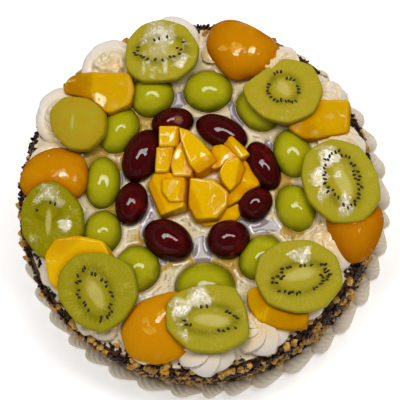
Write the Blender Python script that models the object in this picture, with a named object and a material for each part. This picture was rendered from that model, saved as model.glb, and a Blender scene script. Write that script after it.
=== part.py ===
"""Fruit gateau: a round cream cake coated with nuts and chocolate strands, piped rosettes and fruit on top.

Metres, +Z up. The origin is the centre of the flat underside. +Y points to the back of the cake and +X to
its right. Places and sizes of fruit are in millimetres in the tables below, and MM turns them into metres.
"""

import math
import random

import bmesh
import bpy
from mathutils import Matrix, Vector

MM = 0.001

# Driving dimensions
CAKE_RADIUS = 114.5 * MM
CAKE_HEIGHT = 58.0 * MM
SHOULDER_RADIUS = 5.0 * MM
CAKE_SEGMENTS = 64
GAP = 0.35 * MM

FOOT_OUTER_RADIUS = 126.0 * MM
FOOT_HEIGHT = 14.0 * MM
FOOT_SHELLS = 40
FOOT_STEPS = 4
FOOT_ARCH_STEPS = 4

ROSETTE_HEIGHT = 14.5
ROSETTE_FLUTES = 6
ROSETTE_TWIST = 30.0
# Share of the rosette's width, share of its height and depth of the flutes, from its foot to near its tip
ROSETTE_LEVELS = ((0.86, 0.0, 0.04), (1.0, 0.32, 0.14), (0.84, 0.66, 0.16), (0.45, 0.92, 0.14))
BED_INNER_RADIUS = 85.0 * MM
BED_OUTER_RADIUS = 107.0 * MM
BED_HEIGHT = 5.0 * MM
BED_SEGMENTS = 36

NUT_COUNT = 54
STRAND_COUNT = 58
COATING_LOW = 17.0 * MM
STRAND_LENGTH = 6.5 * MM
STRAND_RADIUS = 1.1 * MM

FRUIT_SEGMENTS = 12
GRAPE_HEIGHT_SHARE = 0.54
RED_GRAPE_SINK = 30.0
KIWI_THICKNESS = 7.0
SEED = 7

# Rosettes: angle round the cake in degrees, reach of the outer rim from the axis, half width along the rim.
ROSETTES = (
    (-3, 113, 19.0), (17, 116, 19.0), (37, 119, 19.5), (57, 116, 19.0), (77, 116, 19.0), (99, 121, 20.0),
    (123, 120.5, 20.5), (148, 120, 20.5), (169, 111, 19.5), (189, 112.5, 19.0), (210, 113, 19.5),
    (232, 114.5, 20.0), (254, 114, 20.0), (275.5, 118, 20.5), (297, 115, 20.0), (317, 113, 19.5),
    (337, 111, 19.0),
)

# Kiwi slices: name, x, y, underside above the cake's top, lean in degrees away from the axis (a negative lean
# tips towards it), droop of the rim, crown, and the corners of the peeled rim about the slice's own middle.
KIWI_SLICES = (
    ("kiwi_slice_1", -19, 92, 14.5, 3, 1.0, 0.4,
     ((-24, -11), (-13, -20), (9, -19), (21, -9), (23, 3), (14, 17), (-2, 22), (-15, 18), (-24, 7))),
    ("kiwi_slice_2", 58, 65, 15.0, 2, 0.5, 0.4,
     ((-11, 10), (-8, 16), (-25, 3), (-22, -8), (-12, -18), (4, -22), (20, -15), (26, 0), (19, 16), (1, 21))),
    ("kiwi_slice_3", 95, 6, 15.0, 4, 1.0, 0.4,
     ((-22, 18), (-25, 3), (-20, -14), (-5, -27), (14, -26), (25, -12), (23, 5), (12, 22), (-6, 27))),
    ("kiwi_slice_4", 68, -55, 14.5, 2, 0.5, 0.4,
     ((-24, 13), (-27, -2), (-19, -17), (-1, -23), (16, -20), (28, -5), (24, 13), (8, 23), (-11, 22))),
    ("kiwi_slice_5", 11, -82, 15.0, -3, 0.5, 0.4,
     ((-26, 9), (-25, -7), (-10, -20), (10, -21), (26, -12), (25, 5), (17, 20), (-1, 22), (-17, 18))),
    ("kiwi_slice_6", -59, -64, 14.5, 3, 1.0, 0.4,
     ((-25, 12), (-25, -4), (-13, -20), (3, -26), (17, -18), (26, -3), (22, 16), (4, 25), (-14, 25))),
    ("kiwi_slice_7", -90, -16, 13.5, 7, 2.5, 0.4,
     ((-12, 21), (-20, 8), (-19, -10), (-7, -25), (10, -25), (21, -10), (20, 6), (11, 18), (0, 25))),
    ("kiwi_end_slice", -74, 46, 13.0, 6, 2.0, 3.0,
     ((-19, 9), (-17, -5), (-6, -17), (8, -18), (18, -8), (18, 6), (7, 16), (-10, 18))),
)

# Apricot halves, cut side down: name, x, y, base above the cake's top, height, lean, and the corners of the
# widest ring about its own middle.
APRICOT_HALVES = (
    ("apricot_half_1", 32, 94, 7.5, 13.5, 6,
     ((-24, 4), (-18, -9), (-7, -19.5), (4, -18.5), (18, -12), (24, 1), (12, 13), (-7, 21.5), (-20, 17))),
    ("apricot_half_2", -90.5, 13, 6.0, 12.5, 6,
     ((-23, -4), (-14, -16), (4, -19), (19, -13), (23, -1), (19, 12), (3, 19), (-16, 12))),
    ("apricot_half_3", -21, -86, 6.0, 13.0, 4,
     ((16, 22), (-1, 21), (-17, 13), (-24, -2), (-18, -18), (0, -23), (19, -15), (24, 4))),
    ("apricot_half_4", 103, -24, 6.5, 12.5, 8,
     ((-18, 8), (-13, -10), (-2, -21), (10, -16), (18, 0), (17, 14), (3, 22), (-12, 19))),
)

# Mango slabs lie on the rosettes: name, over the kiwi or under it, x, y, base above the cake's top,
# thickness, rise of the top towards +X and +Y in degrees, and the outline.
MANGO_SLABS = (
    ("mango_slab_1", "under", -61, 67, 6.0, 12.0, 4, 3,
     ((-24, 1), (-6, -5), (6, -15), (20, -9), (23, 0), (20, 12), (6, 12), (-4, 13), (-19, 12), (-24, 7))),
    ("mango_slab_2", "under", 81, 47, 6.0, 11.5, -2, 5,
     ((-8, -13), (5, -12), (19, -9), (20, 12), (2, 12), (-12, 7), (-20, -5))),
    ("mango_slab_3", "over", -73, -45, 4.0, 16.0, 2, 8,
     ((-21, 5), (-18, -12), (-13, -17), (2, -17), (20, -10), (22, 4), (18, 13), (0, 17), (-14, 15))),
    ("mango_slab_4", "under", 55, -73, 6.0, 10.0, -3, 6,
     ((-19, 10), (-19, 0), (-12, -10), (3, -15), (17, -14), (20, -2), (14, 8), (-4, 14))),
)

# Green grapes, halved and cut side down: name, x, y, length, width, heading of the length.
GREEN_GRAPES = (
    ("green_grape_1", -28, 66, 31, 29, 20),
    ("green_grape_2", 9, 69, 34, 29, 0),
    ("green_grape_3", 41, 55.5, 34, 25, -45),
    ("green_grape_4", 64, 27, 35, 26, -75),
    ("green_grape_5", 66, -9, 34, 26, -65),
    ("green_grape_6", 44, -41, 33, 28, 50),
    ("green_grape_7", 8, -60, 40, 34, 0),
    ("green_grape_8", -36, -48, 32, 31, 60),
    ("green_grape_9", -59, -24, 31, 26, 80),
    ("green_grape_10", -59.5, 9, 36, 25, 88),
    ("green_grape_11", -49, 43.5, 34, 26, 60),
)

# Red grapes, whole and pressed into the cream: name, x, y, length, width, heading of the length.
RED_GRAPES = (
    ("red_grape_1", -14, 48, 28, 20, 10),
    ("red_grape_2", 18, 41.3, 36, 21, -25),
    ("red_grape_3", -33.5, 26, 36.5, 24, 66),
    ("red_grape_4", -40, -5, 29, 21, 78),
    ("red_grape_5", 45, 19, 34, 20, -65),
    ("red_grape_6", 40, -6, 24, 21, 50),
    ("red_grape_7", -16, -29, 34, 25, -28),
    ("red_grape_8", 23, -29, 28, 25, 10),
)

# Mango chunks of the pile in the middle, the uppermost first: name, x, y, height of the top above the
# cake's top, rise of the top towards +X and +Y in degrees, and the outline.
MANGO_CHUNKS = (
    ("mango_chunk_1", -14, 37, 18.5, -6, 4,
     ((-7, -7), (5, -7), (6, 6), (-7, 6))),
    ("mango_chunk_2", 4, 27, 18.0, -14, -8,
     ((-11, 7), (-5, -9), (0, -15), (12, -6), (2, 6), (-6, 13), (-12, 15))),
    ("mango_chunk_3", -7, 23, 16.0, 4, 12,
     ((-4, 5), (-7, -3), (-5, -12), (6, -12), (8, -6), (0, 11))),
    ("mango_chunk_4", -18, 22, 15.5, 6, 4,
     ((-6, -8), (2, -8), (5, -2), (6, 8), (-5, 8))),
    ("mango_chunk_5", 28, 31, 15.0, 12, 10,
     ((-9, 2), (-3, -5), (3, -9), (9, -6), (-5, 9), (-9, 7))),
    ("mango_chunk_6", 26, 11, 17.5, -8, 6,
     ((-6, -4), (-1, -10), (5, -4), (8, 5), (4, 11), (-4, 9), (-8, 2))),
    ("mango_chunk_7", 21, 23, 13.0, 4, -4,
     ((-11, -2), (-8, -7), (0, -5), (10, -1), (6, 4), (-2, 9), (-8, 8))),
    ("mango_chunk_8", -12, 2, 17.0, 6, -10,
     ((-7, -1), (-2, -8), (7, -8), (8, 6), (-7, 7))),
    ("mango_chunk_9", 11, -4, 15.5, -8, 6,
     ((-12, -4), (-7, -13), (5, -12), (12, -3), (12, 5), (3, 12), (-11, 12))),
    ("mango_chunk_10", -17, 0, 13.0, 10, -6,
     ((-3, -14), (12, -9), (12, 10), (1, 14), (-8, 14), (-12, 6))),
    ("mango_chunk_11", 32, 7, 13.0, -12, -4,
     ((-3, -2), (-10, -10), (-9, -15), (2, -9), (11, -1), (9, 8), (1, 15))),
    ("mango_chunk_12", 18, -15, 6.5, 4, 8,
     ((-12, -5), (7, -4), (12, 1), (12, 9), (0, 4), (-14, 1))),
)

CREAM = (0.80, 0.74, 0.58, 1.0)
GREEN_SKIN = (0.26, 0.33, 0.03, 1.0)
RED_SKIN = (0.09, 0.006, 0.012, 1.0)
MANGO = (0.80, 0.42, 0.02, 1.0)
APRICOT = (0.70, 0.24, 0.01, 1.0)
KIWI = (0.36, 0.38, 0.06, 1.0)
COATED = (0.20, 0.12, 0.07, 1.0)


def clear_scene():
    """Removes whatever the file starts with."""
    for obj in list(bpy.data.objects):
        bpy.data.objects.remove(obj)


def material(name, colour, roughness):
    """One plain Principled material."""
    made = bpy.data.materials.new(name)
    made.use_nodes = True
    shader = made.node_tree.nodes["Principled BSDF"]
    shader.inputs["Base Color"].default_value = colour
    shader.inputs["Roughness"].default_value = roughness
    shader.inputs["Metallic"].default_value = 0.0
    return made


def add_object(name, mesh, finish):
    """Links a new object for a mesh, smooth but for its sharp edges."""
    obj = bpy.data.objects.new(name, mesh)
    bpy.context.scene.collection.objects.link(obj)
    mesh.materials.append(finish)
    mesh.shade_smooth()
    mesh.set_sharp_from_angle(angle=math.radians(40))
    return obj


def mesh_from_rings(name, rings, start=None, end=None):
    """A closed mesh through equal rings of points, with a pole or a flat cap at each end."""
    bm = bmesh.new()
    loops = [[bm.verts.new(p) for p in ring] for ring in rings]
    count = len(rings[0])
    for low, high in zip(loops, loops[1:]):
        for i in range(count):
            j = (i + 1) % count
            bm.faces.new((low[i], low[j], high[j], high[i]))
    for loop, pole in ((loops[0], start), (loops[-1], end)):
        if pole is None:
            bm.faces.new(loop)
            continue
        tip = bm.verts.new(pole)
        for i in range(count):
            bm.faces.new((loop[i], loop[(i + 1) % count], tip))
    return finished_mesh(name, bm)


def finished_mesh(name, bm):
    """Turns every face outwards and hands the mesh over."""
    bmesh.ops.recalc_face_normals(bm, faces=bm.faces[:])
    mesh = bpy.data.meshes.new(name)
    bm.to_mesh(mesh)
    bm.free()
    return mesh


def circle(count, radius, z=0.0, squash=1.0):
    """Points round a circle, or round an ellipse where squash isn't 1."""
    turns = (2 * math.pi * i / count for i in range(count))
    return [(radius * math.cos(turn), radius * squash * math.sin(turn), z) for turn in turns]


def rounded(corners, steps=2):
    """Points of the smooth closed curve through a list of corners, steps to a corner."""
    points = []
    count = len(corners)
    for i in range(count):
        before, here, there, after = (Vector(corners[(i + k) % count]) for k in (-1, 0, 1, 2))
        for step in range(steps):
            t = step / steps
            along = (there - before) * t + (2 * before - 5 * here + 4 * there - after) * t**2
            bend = (3 * here - before - 3 * there + after) * t**3
            points.append(tuple(here + 0.5 * (along + bend)))
    return points


def ring_at(points, share, z):
    """An outline in millimetres, scaled by share and lifted to z."""
    return [(x * share * MM, y * share * MM, z * MM) for x, y in points]


def place(obj, x, y, base, heading=0.0, lean=0.0):
    """Sets obj base millimetres over the cake's top, turned by heading, then tipped outwards by lean."""
    towards = math.atan2(y, x)
    tip = Matrix.Rotation(math.radians(lean), 4, Vector((-math.sin(towards), math.cos(towards), 0)))
    turn = Matrix.Rotation(math.radians(heading), 4, "Z")
    spot = Matrix.Translation((x * MM, y * MM, CAKE_HEIGHT + GAP + base * MM))
    obj.matrix_world = spot @ tip @ turn


def rest_on_cake(obj):
    """Cuts off what a tipped piece would push below the cake's top."""
    floor = CAKE_HEIGHT + GAP
    if min((obj.matrix_world @ vert.co).z for vert in obj.data.vertices) > floor - 0.01 * MM:
        return
    bm = bmesh.new()
    bm.from_mesh(obj.data)
    to_local = obj.matrix_world.inverted()
    point = to_local @ Vector((0, 0, floor))
    normal = (to_local.to_3x3() @ Vector((0, 0, 1))).normalized()
    geometry = bm.verts[:] + bm.edges[:] + bm.faces[:]
    bmesh.ops.bisect_plane(bm, geom=geometry, plane_co=point, plane_no=normal, clear_inner=True)
    bmesh.ops.holes_fill(bm, edges=[edge for edge in bm.edges if edge.is_boundary])
    bmesh.ops.recalc_face_normals(bm, faces=bm.faces[:])
    bm.to_mesh(obj.data)
    bm.free()


def apply_boolean(obj, cut):
    """Replaces obj's mesh by the result of its Boolean, less any loose scrap.

    Where EXACT comes back empty or open the MANIFOLD solver takes over.
    """
    for solver in ("EXACT", "MANIFOLD"):
        cut.solver = solver
        bpy.context.view_layer.update()
        evaluated = obj.evaluated_get(bpy.context.evaluated_depsgraph_get())
        mesh = bpy.data.meshes.new_from_object(evaluated)
        bm = bmesh.new()
        bm.from_mesh(mesh)
        if bm.verts and all(edge.is_manifold for edge in bm.edges):
            break
        bm.free()
    else:
        raise RuntimeError(f"{obj.name}: no solver gave a closed mesh")
    obj.modifiers.clear()
    keep_largest_body(bm)
    bm.to_mesh(mesh)
    bm.free()
    obj.data = mesh


def keep_largest_body(bm):
    """Deletes every body of a mesh but the one with most vertices."""
    unseen = set(bm.verts)
    bodies = []
    while unseen:
        body = {unseen.pop()}
        frontier = list(body)
        while frontier:
            for edge in frontier.pop().link_edges:
                for other in edge.verts:
                    if other in unseen:
                        unseen.discard(other)
                        body.add(other)
                        frontier.append(other)
        bodies.append(body)
    bodies.sort(key=len)
    scraps = [vert for body in bodies[:-1] for vert in body]
    bmesh.ops.delete(bm, geom=scraps, context="VERTS")


def fuse(obj, pieces):
    """Joins loose pieces to obj by one Boolean union and removes them."""
    group = bpy.data.collections.new("fused")
    bpy.context.scene.collection.children.link(group)
    for piece in pieces:
        group.objects.link(piece)
    bpy.context.view_layer.update()
    join = obj.modifiers.new("join", "BOOLEAN")
    join.operation = "UNION"
    join.operand_type = "COLLECTION"
    join.collection = group
    apply_boolean(obj, join)
    for piece in pieces:
        bpy.data.objects.remove(piece)
    bpy.data.collections.remove(group)


def boxes_meet(one, other):
    """True where two objects' world boxes come within the gap of each other."""
    spans = []
    for obj in (one, other):
        corners = [obj.matrix_world @ Vector(corner) for corner in obj.bound_box]
        spans.append([(min(c[i] for c in corners), max(c[i] for c in corners)) for i in range(3)])
    return all(a[0] < b[1] + GAP and b[0] < a[1] + GAP for a, b in zip(*spans))


def press_into(soft, firm):
    """Cuts firm's shape, grown by the gap, out of soft, as where a fruit is pressed into cream."""
    if not boxes_meet(soft, firm):
        return
    grown = firm.copy()
    grown.data = firm.data.copy()
    bpy.context.scene.collection.objects.link(grown)
    normals = [vert.normal.copy() for vert in grown.data.vertices]
    for vert, normal in zip(grown.data.vertices, normals):
        vert.co += normal * GAP * 1.15
    cut = soft.modifiers.new("press", "BOOLEAN")
    cut.operation = "DIFFERENCE"
    cut.object = grown
    apply_boolean(soft, cut)
    bpy.data.objects.remove(grown)


def cake_mesh():
    """The cake under its coating: a turned drum with a round shoulder."""
    profile = [(CAKE_RADIUS - 1.0 * MM, 0.0), (CAKE_RADIUS, 1.0 * MM)]
    shoulder_steps = 3
    for step in range(shoulder_steps + 1):
        angle = math.pi / 2 * step / shoulder_steps
        radius = CAKE_RADIUS - SHOULDER_RADIUS * (1 - math.cos(angle))
        profile.append((radius, CAKE_HEIGHT - SHOULDER_RADIUS * (1 - math.sin(angle))))
    return mesh_from_rings("cake_body", [circle(CAKE_SEGMENTS, radius, z) for radius, z in profile])


def nut_mesh(rng):
    """A chopped nut: a small ball of twenty faces, pushed out of round."""
    bm = bmesh.new()
    bmesh.ops.create_icosphere(bm, subdivisions=1, radius=1.0)
    for vert in bm.verts:
        vert.co *= rng.uniform(0.78, 1.15)
    bmesh.ops.scale(bm, vec=[rng.uniform(1.9, 3.4) * MM for _ in range(3)], verts=bm.verts[:])
    return finished_mesh("nut", bm)


def strand_mesh(rng):
    """A chocolate strand: a short four-sided rod."""
    half = STRAND_LENGTH * rng.uniform(0.75, 1.2) / 2
    return mesh_from_rings("strand", [circle(4, STRAND_RADIUS, -half), circle(4, STRAND_RADIUS, half)])


def on_coating(share, proud):
    """(radius, height, tilt back) of a spot on the coating, from share 0 at its foot to 1 at the top."""
    straight = CAKE_HEIGHT - SHOULDER_RADIUS - COATING_LOW
    bend = SHOULDER_RADIUS * math.pi / 2
    along = share * (straight + bend)
    if along < straight:
        return CAKE_RADIUS + proud, COATING_LOW + along, 0.0
    tilt = (along - straight) / SHOULDER_RADIUS
    reach = SHOULDER_RADIUS + proud
    middle = CAKE_RADIUS - SHOULDER_RADIUS
    return middle + reach * math.cos(tilt), CAKE_HEIGHT - SHOULDER_RADIUS + reach * math.sin(tilt), tilt


def coat_side(cake):
    """Fuses nuts and chocolate strands to the cake's side, spread evenly with a seeded jitter."""
    rng = random.Random(SEED)
    golden = (math.sqrt(5) - 1) / 2
    pieces = []
    for count, maker, proud in ((NUT_COUNT, nut_mesh, 0.6 * MM), (STRAND_COUNT, strand_mesh, 0.35 * MM)):
        for i in range(count):
            angle = 2 * math.pi * (i + rng.uniform(-0.3, 0.3)) / count
            share = 0.88 * ((i * golden + rng.uniform(-0.05, 0.05)) % 1.0)
            radius, height, back = on_coating(share, proud)
            out = Matrix.Rotation(angle, 4, "Z") @ Matrix.Translation((radius, 0, height))
            spin = Matrix.Rotation(-back, 4, "Y") @ Matrix.Rotation(rng.uniform(0, math.pi), 4, "X")
            tilt = Matrix.Rotation(math.radians(rng.uniform(-14, 14)), 4, "Y")
            piece = bpy.data.objects.new("grain", maker(rng))
            piece.matrix_world = out @ spin @ tilt
            pieces.append(piece)
    fuse(cake, pieces)


def foot_ring_mesh():
    """The foot's piped shells: a flat-footed arch swept round the cake and pinched in between the shells."""
    rng = random.Random(SEED)
    sizes = [rng.uniform(0.95, 1.0) for _ in range(FOOT_SHELLS)]
    sizes[0] = sizes[FOOT_SHELLS // 4] = sizes[FOOT_SHELLS // 2] = sizes[3 * FOOT_SHELLS // 4] = 1.0
    inner = CAKE_RADIUS + GAP
    middle, half = (inner + FOOT_OUTER_RADIUS) / 2, (FOOT_OUTER_RADIUS - inner) / 2
    low = math.radians(-24)
    count = FOOT_SHELLS * FOOT_STEPS
    sections = []
    for i in range(count):
        section = []
        for k in range(FOOT_ARCH_STEPS + 1):
            climb = low + (math.pi - 2 * low) * k / FOOT_ARCH_STEPS
            phase = (i / FOOT_STEPS + 0.5 + 0.5 * (climb - low) / math.pi) % FOOT_SHELLS
            bulge = math.sqrt(1 - (2 * (phase % 1.0) - 1) ** 2)
            swell = (0.72 + 0.28 * bulge) * sizes[int(phase)]
            across = math.cos(climb)
            radius = middle + half * across * (swell if across > 0 else 1.0)
            rise = (math.sin(climb) - math.sin(low)) / (1 - math.sin(low)) * swell
            theta = 2 * math.pi * i / count
            section.append((radius * math.cos(theta), radius * math.sin(theta), FOOT_HEIGHT * rise))
        sections.append(section)
    return hoop_mesh("foot_border", sections)


def hoop_mesh(name, sections):
    """A closed hoop through equal sections, each itself a closed loop."""
    bm = bmesh.new()
    loops = [[bm.verts.new(p) for p in section] for section in sections]
    for loop, following in zip(loops, loops[1:] + loops[:1]):
        for k in range(len(loop)):
            n = (k + 1) % len(loop)
            bm.faces.new((loop[k], loop[n], following[n], following[k]))
    return finished_mesh(name, bm)


def bed_mesh():
    """The low bed of cream that the rosettes stand on and run into."""
    base = CAKE_HEIGHT + GAP
    edge = 3.0 * MM
    profile = (
        (BED_INNER_RADIUS, base),
        (BED_INNER_RADIUS + edge, base + BED_HEIGHT),
        (BED_OUTER_RADIUS - edge, base + BED_HEIGHT),
        (BED_OUTER_RADIUS, base),
    )
    sections = []
    for i in range(BED_SEGMENTS):
        theta = 2 * math.pi * i / BED_SEGMENTS
        sections.append([(radius * math.cos(theta), radius * math.sin(theta), z) for radius, z in profile])
    return hoop_mesh("top_border", sections)


def rosette(angle, reach, half_width):
    """One piped rosette: a fluted dome whose flutes turn as they climb."""
    half_depth = half_width * 0.95
    rings = []
    for level, (share, rise, depth) in enumerate(ROSETTE_LEVELS):
        ring = []
        for i in range(2 * ROSETTE_FLUTES):
            turn = math.pi * i / ROSETTE_FLUTES + math.radians(ROSETTE_TWIST * level)
            flute = share * (1 - depth * (i % 2)) * MM
            across, along = half_depth * flute * math.cos(turn), half_width * flute * math.sin(turn)
            ring.append((across, along, ROSETTE_HEIGHT * rise * MM))
        rings.append(ring)
    mesh = mesh_from_rings("rosette", rings, None, (0, 0, ROSETTE_HEIGHT * MM))
    obj = bpy.data.objects.new("rosette", mesh)
    spot = Matrix.Translation(((reach - half_depth) * MM, 0, CAKE_HEIGHT + GAP))
    obj.matrix_world = Matrix.Rotation(math.radians(angle), 4, "Z") @ spot
    return obj


def kiwi_mesh(name, corners, droop, crown):
    """A kiwi slice: a disc with the peeled facets of its rim, its rim drooping a little."""
    outline = rounded(corners)
    profile = (
        (0.92, 0.0, -droop),
        (1.0, 0.4, -droop),
        (0.94, 1.0, -droop),
        (0.6, 1.0, 0.6 * crown - 0.2 * droop),
    )
    rings = [ring_at(outline, share, KIWI_THICKNESS * rise + extra) for share, rise, extra in profile]
    return mesh_from_rings(name, rings, (0, 0, 0), (0, 0, (KIWI_THICKNESS + crown) * MM))


def dome_mesh(name, outline, height, sink, levels):
    """A dome over an outline, or most of an egg: it starts sink degrees below its widest ring."""
    low = -math.radians(sink)
    rings = []
    for level in range(levels):
        climb = low + (math.pi / 2 - low) * level / levels
        rise = (math.sin(climb) - math.sin(low)) / (1 - math.sin(low))
        rings.append(ring_at(outline, math.cos(climb), height * rise))
    return mesh_from_rings(name, rings, None, (0, 0, height * MM))


def ellipse(length, width):
    """Outline of a grape seen from above, in millimetres."""
    return [(x, y) for x, y, _ in circle(FRUIT_SEGMENTS, length / 2, 0.0, width / length)]


def block_mesh(name, corners, thickness, rise_x, rise_y, edge):
    """A cut block of mango: its outline raised to a sloping top, with softened edges."""
    slope_x, slope_y = math.tan(math.radians(rise_x)), math.tan(math.radians(rise_y))
    rings = []
    for share, inset in ((0.0, 0.0), (1 - edge / thickness, 0.0), (1.0, edge)):
        ring = []
        for x, y in corners:
            keep = max(0.0, 1 - inset / math.hypot(x, y))
            top = thickness + slope_x * x + slope_y * y
            ring.append((x * keep * MM, y * keep * MM, top * share * MM))
        rings.append(ring)
    return mesh_from_rings(name, rings)


def build_fruit(finishes):
    """Makes every fruit, each before the ones that lie under it."""
    pieces = []

    def add(name, mesh, finish, *where):
        obj = add_object(name, mesh, finishes[finish])
        place(obj, *where)
        pieces.append(obj)

    def add_slabs(wanted):
        for name, where, x, y, base, thickness, rise_x, rise_y, corners in MANGO_SLABS:
            if where == wanted:
                add(name, block_mesh(name, corners, thickness, rise_x, rise_y, 1.8), "mango", x, y, base)

    add_slabs("over")
    for name, x, y, base, lean, droop, crown, corners in KIWI_SLICES:
        add(name, kiwi_mesh(name, corners, droop, crown), "kiwi", x, y, base, 0.0, lean)
    add_slabs("under")
    for name, x, y, base, height, lean, corners in APRICOT_HALVES:
        add(name, dome_mesh(name, rounded(corners), height, 8, 4), "apricot", x, y, base, 0.0, lean)
    for name, x, y, top, rise_x, rise_y, corners in MANGO_CHUNKS:
        add(name, block_mesh(name, corners, top, rise_x, rise_y, 1.2), "mango", x, y, 0.0)
    for name, x, y, length, width, heading in GREEN_GRAPES:
        mesh = dome_mesh(name, ellipse(length, width), GRAPE_HEIGHT_SHARE * width, 5, 3)
        add(name, mesh, "green_grape", x, y, 0.0, heading)
    for name, x, y, length, width, heading in RED_GRAPES:
        height = width * 0.5 * (1 + math.sin(math.radians(RED_GRAPE_SINK)))
        mesh = dome_mesh(name, ellipse(length, width), height, RED_GRAPE_SINK, 4)
        add(name, mesh, "red_grape", x, y, 0.0, heading)
    return pieces


def build():
    """Makes every piece, the firmest and highest first, then presses each into what lies below it."""
    clear_scene()
    finishes = {
        "cream": material("cream", CREAM, 0.5),
        "kiwi": material("kiwi", KIWI, 0.2),
        "apricot": material("apricot", APRICOT, 0.2),
        "mango": material("mango", MANGO, 0.25),
        "green_grape": material("green_grape", GREEN_SKIN, 0.15),
        "red_grape": material("red_grape", RED_SKIN, 0.12),
        "coated_cake": material("coated_cake", COATED, 0.6),
    }
    pieces = build_fruit(finishes)
    border = add_object("top_border", bed_mesh(), finishes["cream"])
    fuse(border, [rosette(*sizes) for sizes in ROSETTES])
    bpy.context.view_layer.update()
    for obj in pieces:
        rest_on_cake(obj)
    pieces.append(border)
    for i, soft in enumerate(pieces):
        for firm in pieces[:i]:
            press_into(soft, firm)

    cake = add_object("cake_body", cake_mesh(), finishes["coated_cake"])
    coat_side(cake)
    add_object("foot_border", foot_ring_mesh(), finishes["cream"])


build()
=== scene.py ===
"""Looks of the fruit gateau: a round cream cake with a coated side, piped cream and glazed fruit.

Sizes of fruit are in millimetres, and MM turns them into metres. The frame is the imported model's: its
origin is the centre of the flat underside, +Z is up and +Y is the back of the cake.
"""

import sys

import logging
import math
import random
from dataclasses import dataclass
from enum import Enum
from typing import Any, Iterable, Sequence

import bpy
import numpy as np
from mathutils import Matrix, Vector, noise
from mathutils.bvhtree import BVHTree


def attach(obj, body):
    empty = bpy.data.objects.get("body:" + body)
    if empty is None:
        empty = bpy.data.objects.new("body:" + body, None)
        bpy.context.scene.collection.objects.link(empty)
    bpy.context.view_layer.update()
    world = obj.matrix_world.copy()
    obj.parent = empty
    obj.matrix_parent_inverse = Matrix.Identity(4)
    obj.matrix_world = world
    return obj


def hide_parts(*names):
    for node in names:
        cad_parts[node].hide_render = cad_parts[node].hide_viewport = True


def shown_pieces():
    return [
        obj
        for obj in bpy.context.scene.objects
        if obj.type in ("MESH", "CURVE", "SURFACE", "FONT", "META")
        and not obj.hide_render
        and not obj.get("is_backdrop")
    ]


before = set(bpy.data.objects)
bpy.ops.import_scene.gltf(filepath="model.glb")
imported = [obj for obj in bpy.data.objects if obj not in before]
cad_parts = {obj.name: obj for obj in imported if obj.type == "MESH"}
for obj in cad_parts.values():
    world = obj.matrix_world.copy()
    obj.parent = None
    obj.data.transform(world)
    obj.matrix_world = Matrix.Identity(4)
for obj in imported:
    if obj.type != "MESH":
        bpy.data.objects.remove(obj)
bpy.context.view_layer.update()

log = logging.getLogger("gateau")

Colour = tuple[float, float, float]
Point = tuple[float, float]
Triple = tuple[float, float, float]
Array = np.ndarray
Socket = bpy.types.NodeSocket
Material = bpy.types.Material
Piece = bpy.types.Object
# An oval's middle, half length, half width and heading
Oval = tuple[float, float, float, float, float]
# A smear's middle, width and strength
Smear = tuple[float, float, float, float]

MM = 0.001
CAKE_RADIUS = 114.5
CAKE_HEIGHT = 58.0
SHOULDER_RADIUS = 5.0
GAP = 0.35
BODY = "root"
SEED = 7
# How far one step of a seed moves a noise along each axis
SEED_SHIFT = (7.31, 3.17, 5.77)
# How far apart in their materials' patterns two pieces of a kind lie
PATTERN_STEP = 40.0
# How far inside an oval a point counts that is far outside it
FAR_OUTSIDE = -3.0


# Shader maths


class Num:
    """A number in a shader. Python's operators on it add Math nodes."""

    def __init__(self, paint: "Paint", socket: Socket) -> None:
        """Wraps one output socket of the paint's tree."""
        self.paint = paint
        self.socket = socket

    def _maths(self, operation: str, first: Any, second: Any) -> "Num":
        """Adds one Math node for two operands, each a Num or a plain number."""
        node = self.paint.node("ShaderNodeMath", {"operation": operation}, {"0": first, "1": second})
        return Num(self.paint, node.outputs[0])

    def __add__(self, other: Any) -> "Num":
        """self + other."""
        return self._maths("ADD", self, other)

    def __sub__(self, other: Any) -> "Num":
        """self - other."""
        return self._maths("SUBTRACT", self, other)

    def __rsub__(self, other: Any) -> "Num":
        """other - self."""
        return self._maths("SUBTRACT", other, self)

    def __mul__(self, other: Any) -> "Num":
        """self * other."""
        return self._maths("MULTIPLY", self, other)

    def __pow__(self, other: Any) -> "Num":
        """self to the power of other."""
        return self._maths("POWER", self, other)

    __radd__ = __add__
    __rmul__ = __mul__

    def highest(self, other: Any) -> "Num":
        """The larger of this and another number."""
        return self._maths("MAXIMUM", self, other)

    def step(self, low: float, high: float) -> "Num":
        """A smooth step between two values.

        Args:
            low: Where it is 0.
            high: Where it is 1. With high below low the step falls.

        Returns:
            The step, from 0 to 1.
        """
        flip = low > high
        settings = {"interpolation_type": "SMOOTHSTEP", "clamp": True}
        sockets = {"Value": self, "From Min": min(low, high), "From Max": max(low, high)}
        sockets |= {"To Min": float(flip), "To Max": float(not flip)}
        return Num(self.paint, self.paint.node("ShaderNodeMapRange", settings, sockets).outputs[0])


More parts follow.
